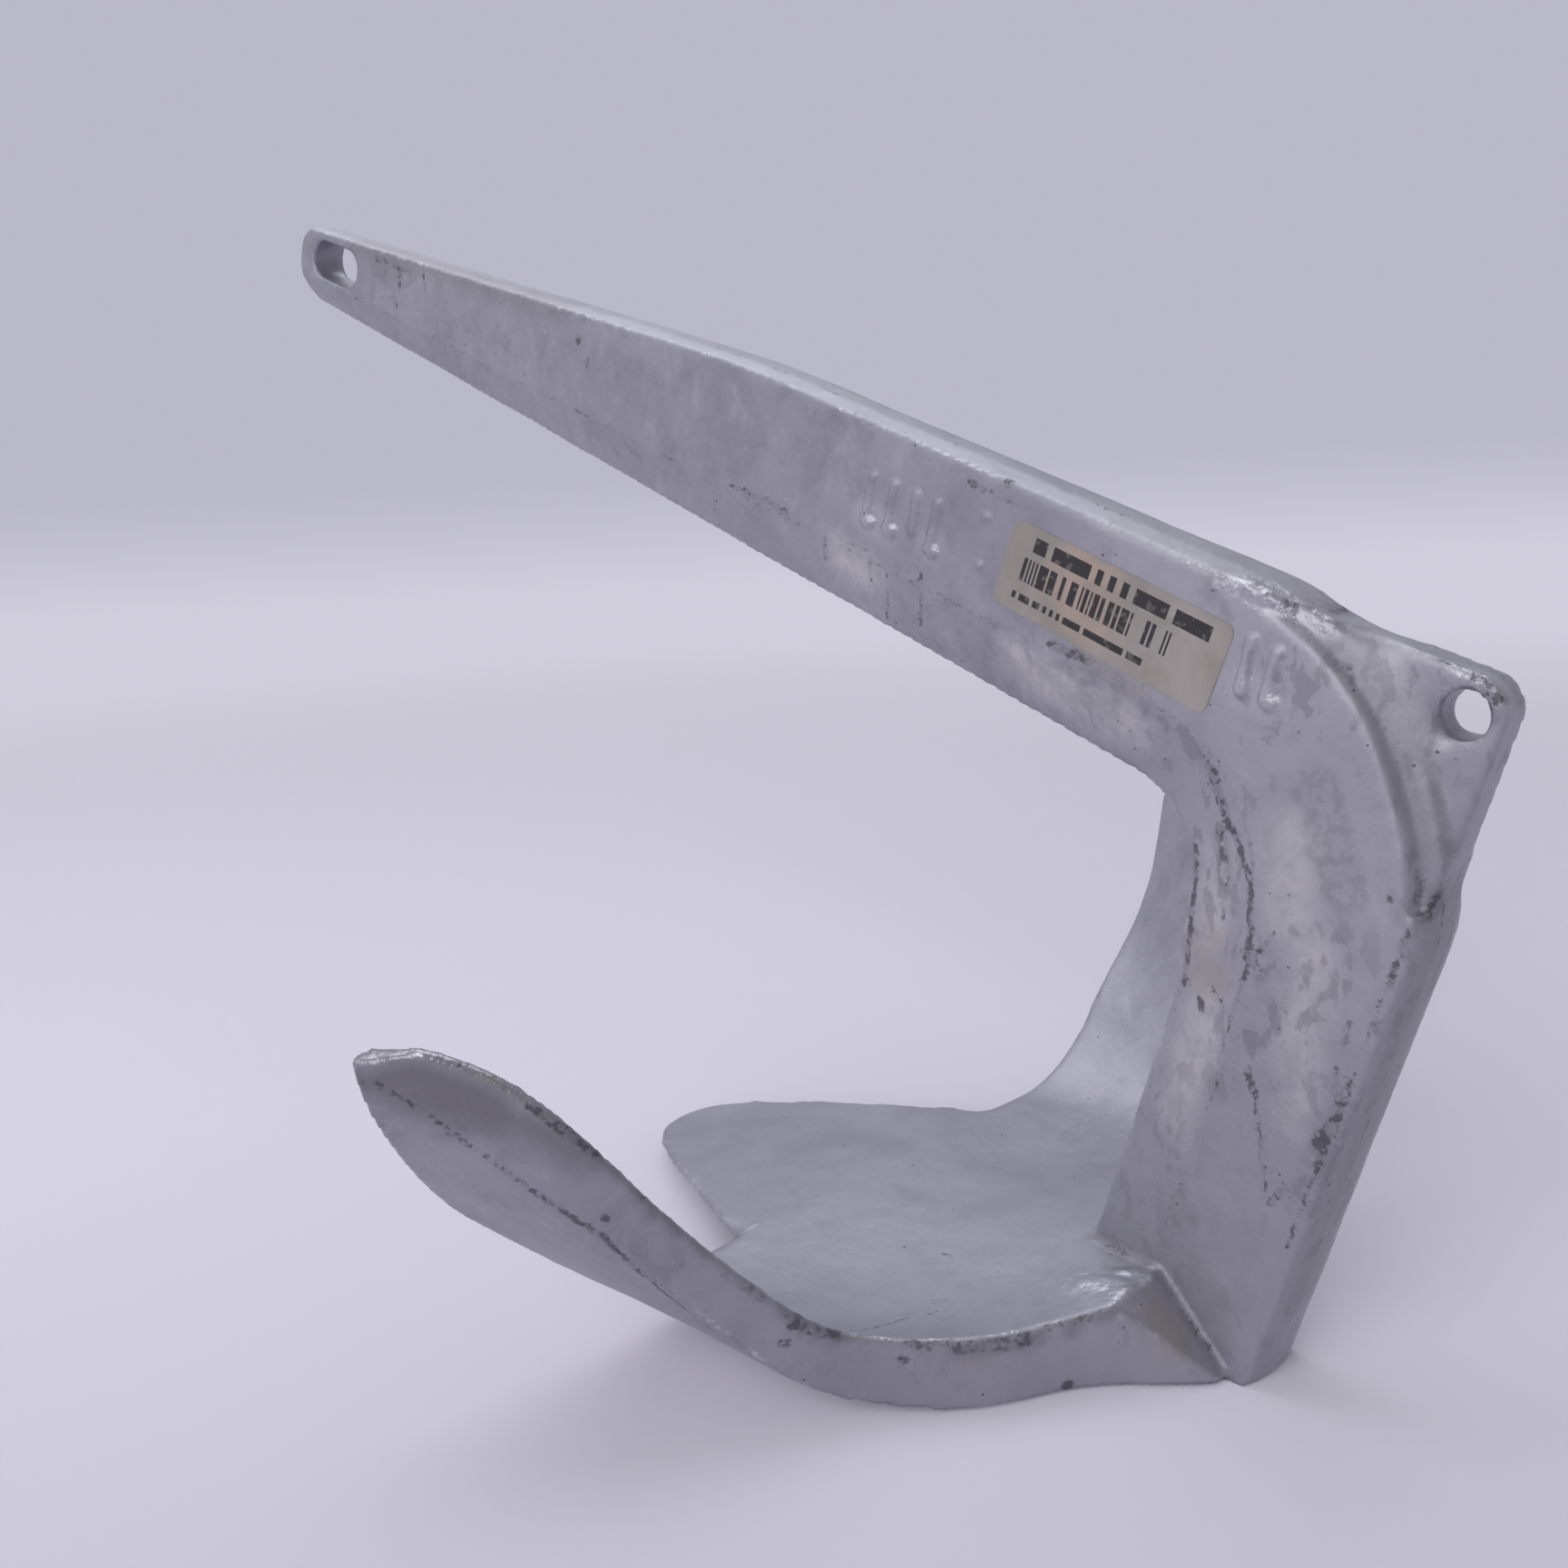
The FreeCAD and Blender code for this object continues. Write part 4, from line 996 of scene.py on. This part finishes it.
def backdrop():
    """A floor that sweeps up into the wall at the far side of the anchor."""
    bpy.ops.object.select_all(action="DESELECT")
    bpy.ops.mesh.primitive_plane_add(size=2 * FLOOR_HALF_WIDTH, location=(0, 0, -FLOOR_DROP))
    sweep = bpy.context.object
    sweep.name = "studio_sweep"
    bpy.ops.object.mode_set(mode="EDIT")
    shape = bmesh.from_edit_mesh(sweep.data)
    far = next(edge for edge in shape.edges if all(v.co.y > 0 for v in edge.verts))
    for element in (*shape.faces, *shape.edges, *shape.verts):
        element.select = False
    for element in (far, *far.verts):
        element.select = True
    bmesh.update_edit_mesh(sweep.data)
    bpy.ops.mesh.select_mode(type="EDGE")
    bpy.ops.mesh.spin(steps=COVE_STEPS, angle=math.pi / 2,
                      center=(0, FLOOR_HALF_WIDTH, COVE_RADIUS), axis=(1, 0, 0))
    bpy.ops.mesh.extrude_region_move(TRANSFORM_OT_translate={"value": (0, 0, WALL_TOP)})
    bpy.ops.object.mode_set(mode="OBJECT")
    toward = -CAMERA_RIGHT.cross(CAMERA_UP)
    heading = math.atan2(-toward.x, toward.y)
    sweep.data.transform(Matrix.Rotation(heading, 4, "Z"))
    bpy.ops.object.shade_smooth()
    sweep.data.materials.append(studio_paper())


def softbox(name, place, target, width, power, colour):
    """A round area light turned to its target."""
    bpy.ops.object.light_add(type="AREA", location=place)
    made = bpy.context.object
    made.name = name
    made.data.shape = "DISK"
    made.data.size = width
    made.data.energy = power
    made.data.color = colour
    made.rotation_euler = (Vector(target) - Vector(place)).to_track_quat("-Z", "Y").to_euler()


def studio_air():
    """Pale air all round, stronger from the left."""
    air = bpy.data.worlds.new("studio_air")
    bpy.context.scene.world = air
    air.use_nodes = True
    tree = air.node_tree
    outward = tree.nodes.new("ShaderNodeTexCoord")
    parts = tree.nodes.new("ShaderNodeSeparateXYZ")
    tree.links.new(outward.outputs["Generated"], parts.inputs["Vector"])
    strength = tree.nodes.new("ShaderNodeMapRange")
    strength.interpolation_type = "SMOOTHSTEP"
    strength.inputs["From Min"].default_value = AIR_LEFT
    strength.inputs["From Max"].default_value = AIR_RIGHT
    strength.inputs["To Min"].default_value = AIR_LEFT_STRENGTH
    strength.inputs["To Max"].default_value = AIR_RIGHT_STRENGTH
    tree.links.new(parts.outputs["X"], strength.inputs["Value"])
    background = tree.nodes["Background"]
    background.inputs["Color"].default_value = AIR_TONE
    tree.links.new(strength.outputs["Result"], background.inputs["Strength"])


def photo_camera():
    """The camera at the photograph's own place, height and lens."""
    optics = bpy.data.cameras.new("photo_camera")
    optics.lens = CAMERA_LENS
    optics.sensor_width = SENSOR_WIDTH
    optics.clip_start = NEAREST_SEEN
    optics.clip_end = FARTHEST_SEEN
    camera = bpy.data.objects.new("photo_camera", optics)
    bpy.context.collection.objects.link(camera)
    camera_back = CAMERA_RIGHT.cross(CAMERA_UP)
    turn = Matrix((CAMERA_RIGHT, CAMERA_UP, camera_back)).transposed().to_4x4()
    camera.matrix_world = Matrix.Translation(CAMERA_PLACE) @ turn
    bpy.context.scene.camera = camera


backdrop()
for box in SOFTBOXES:
    softbox(*box)
studio_air()
photo_camera()
bpy.context.scene.view_settings.view_transform = "Standard"
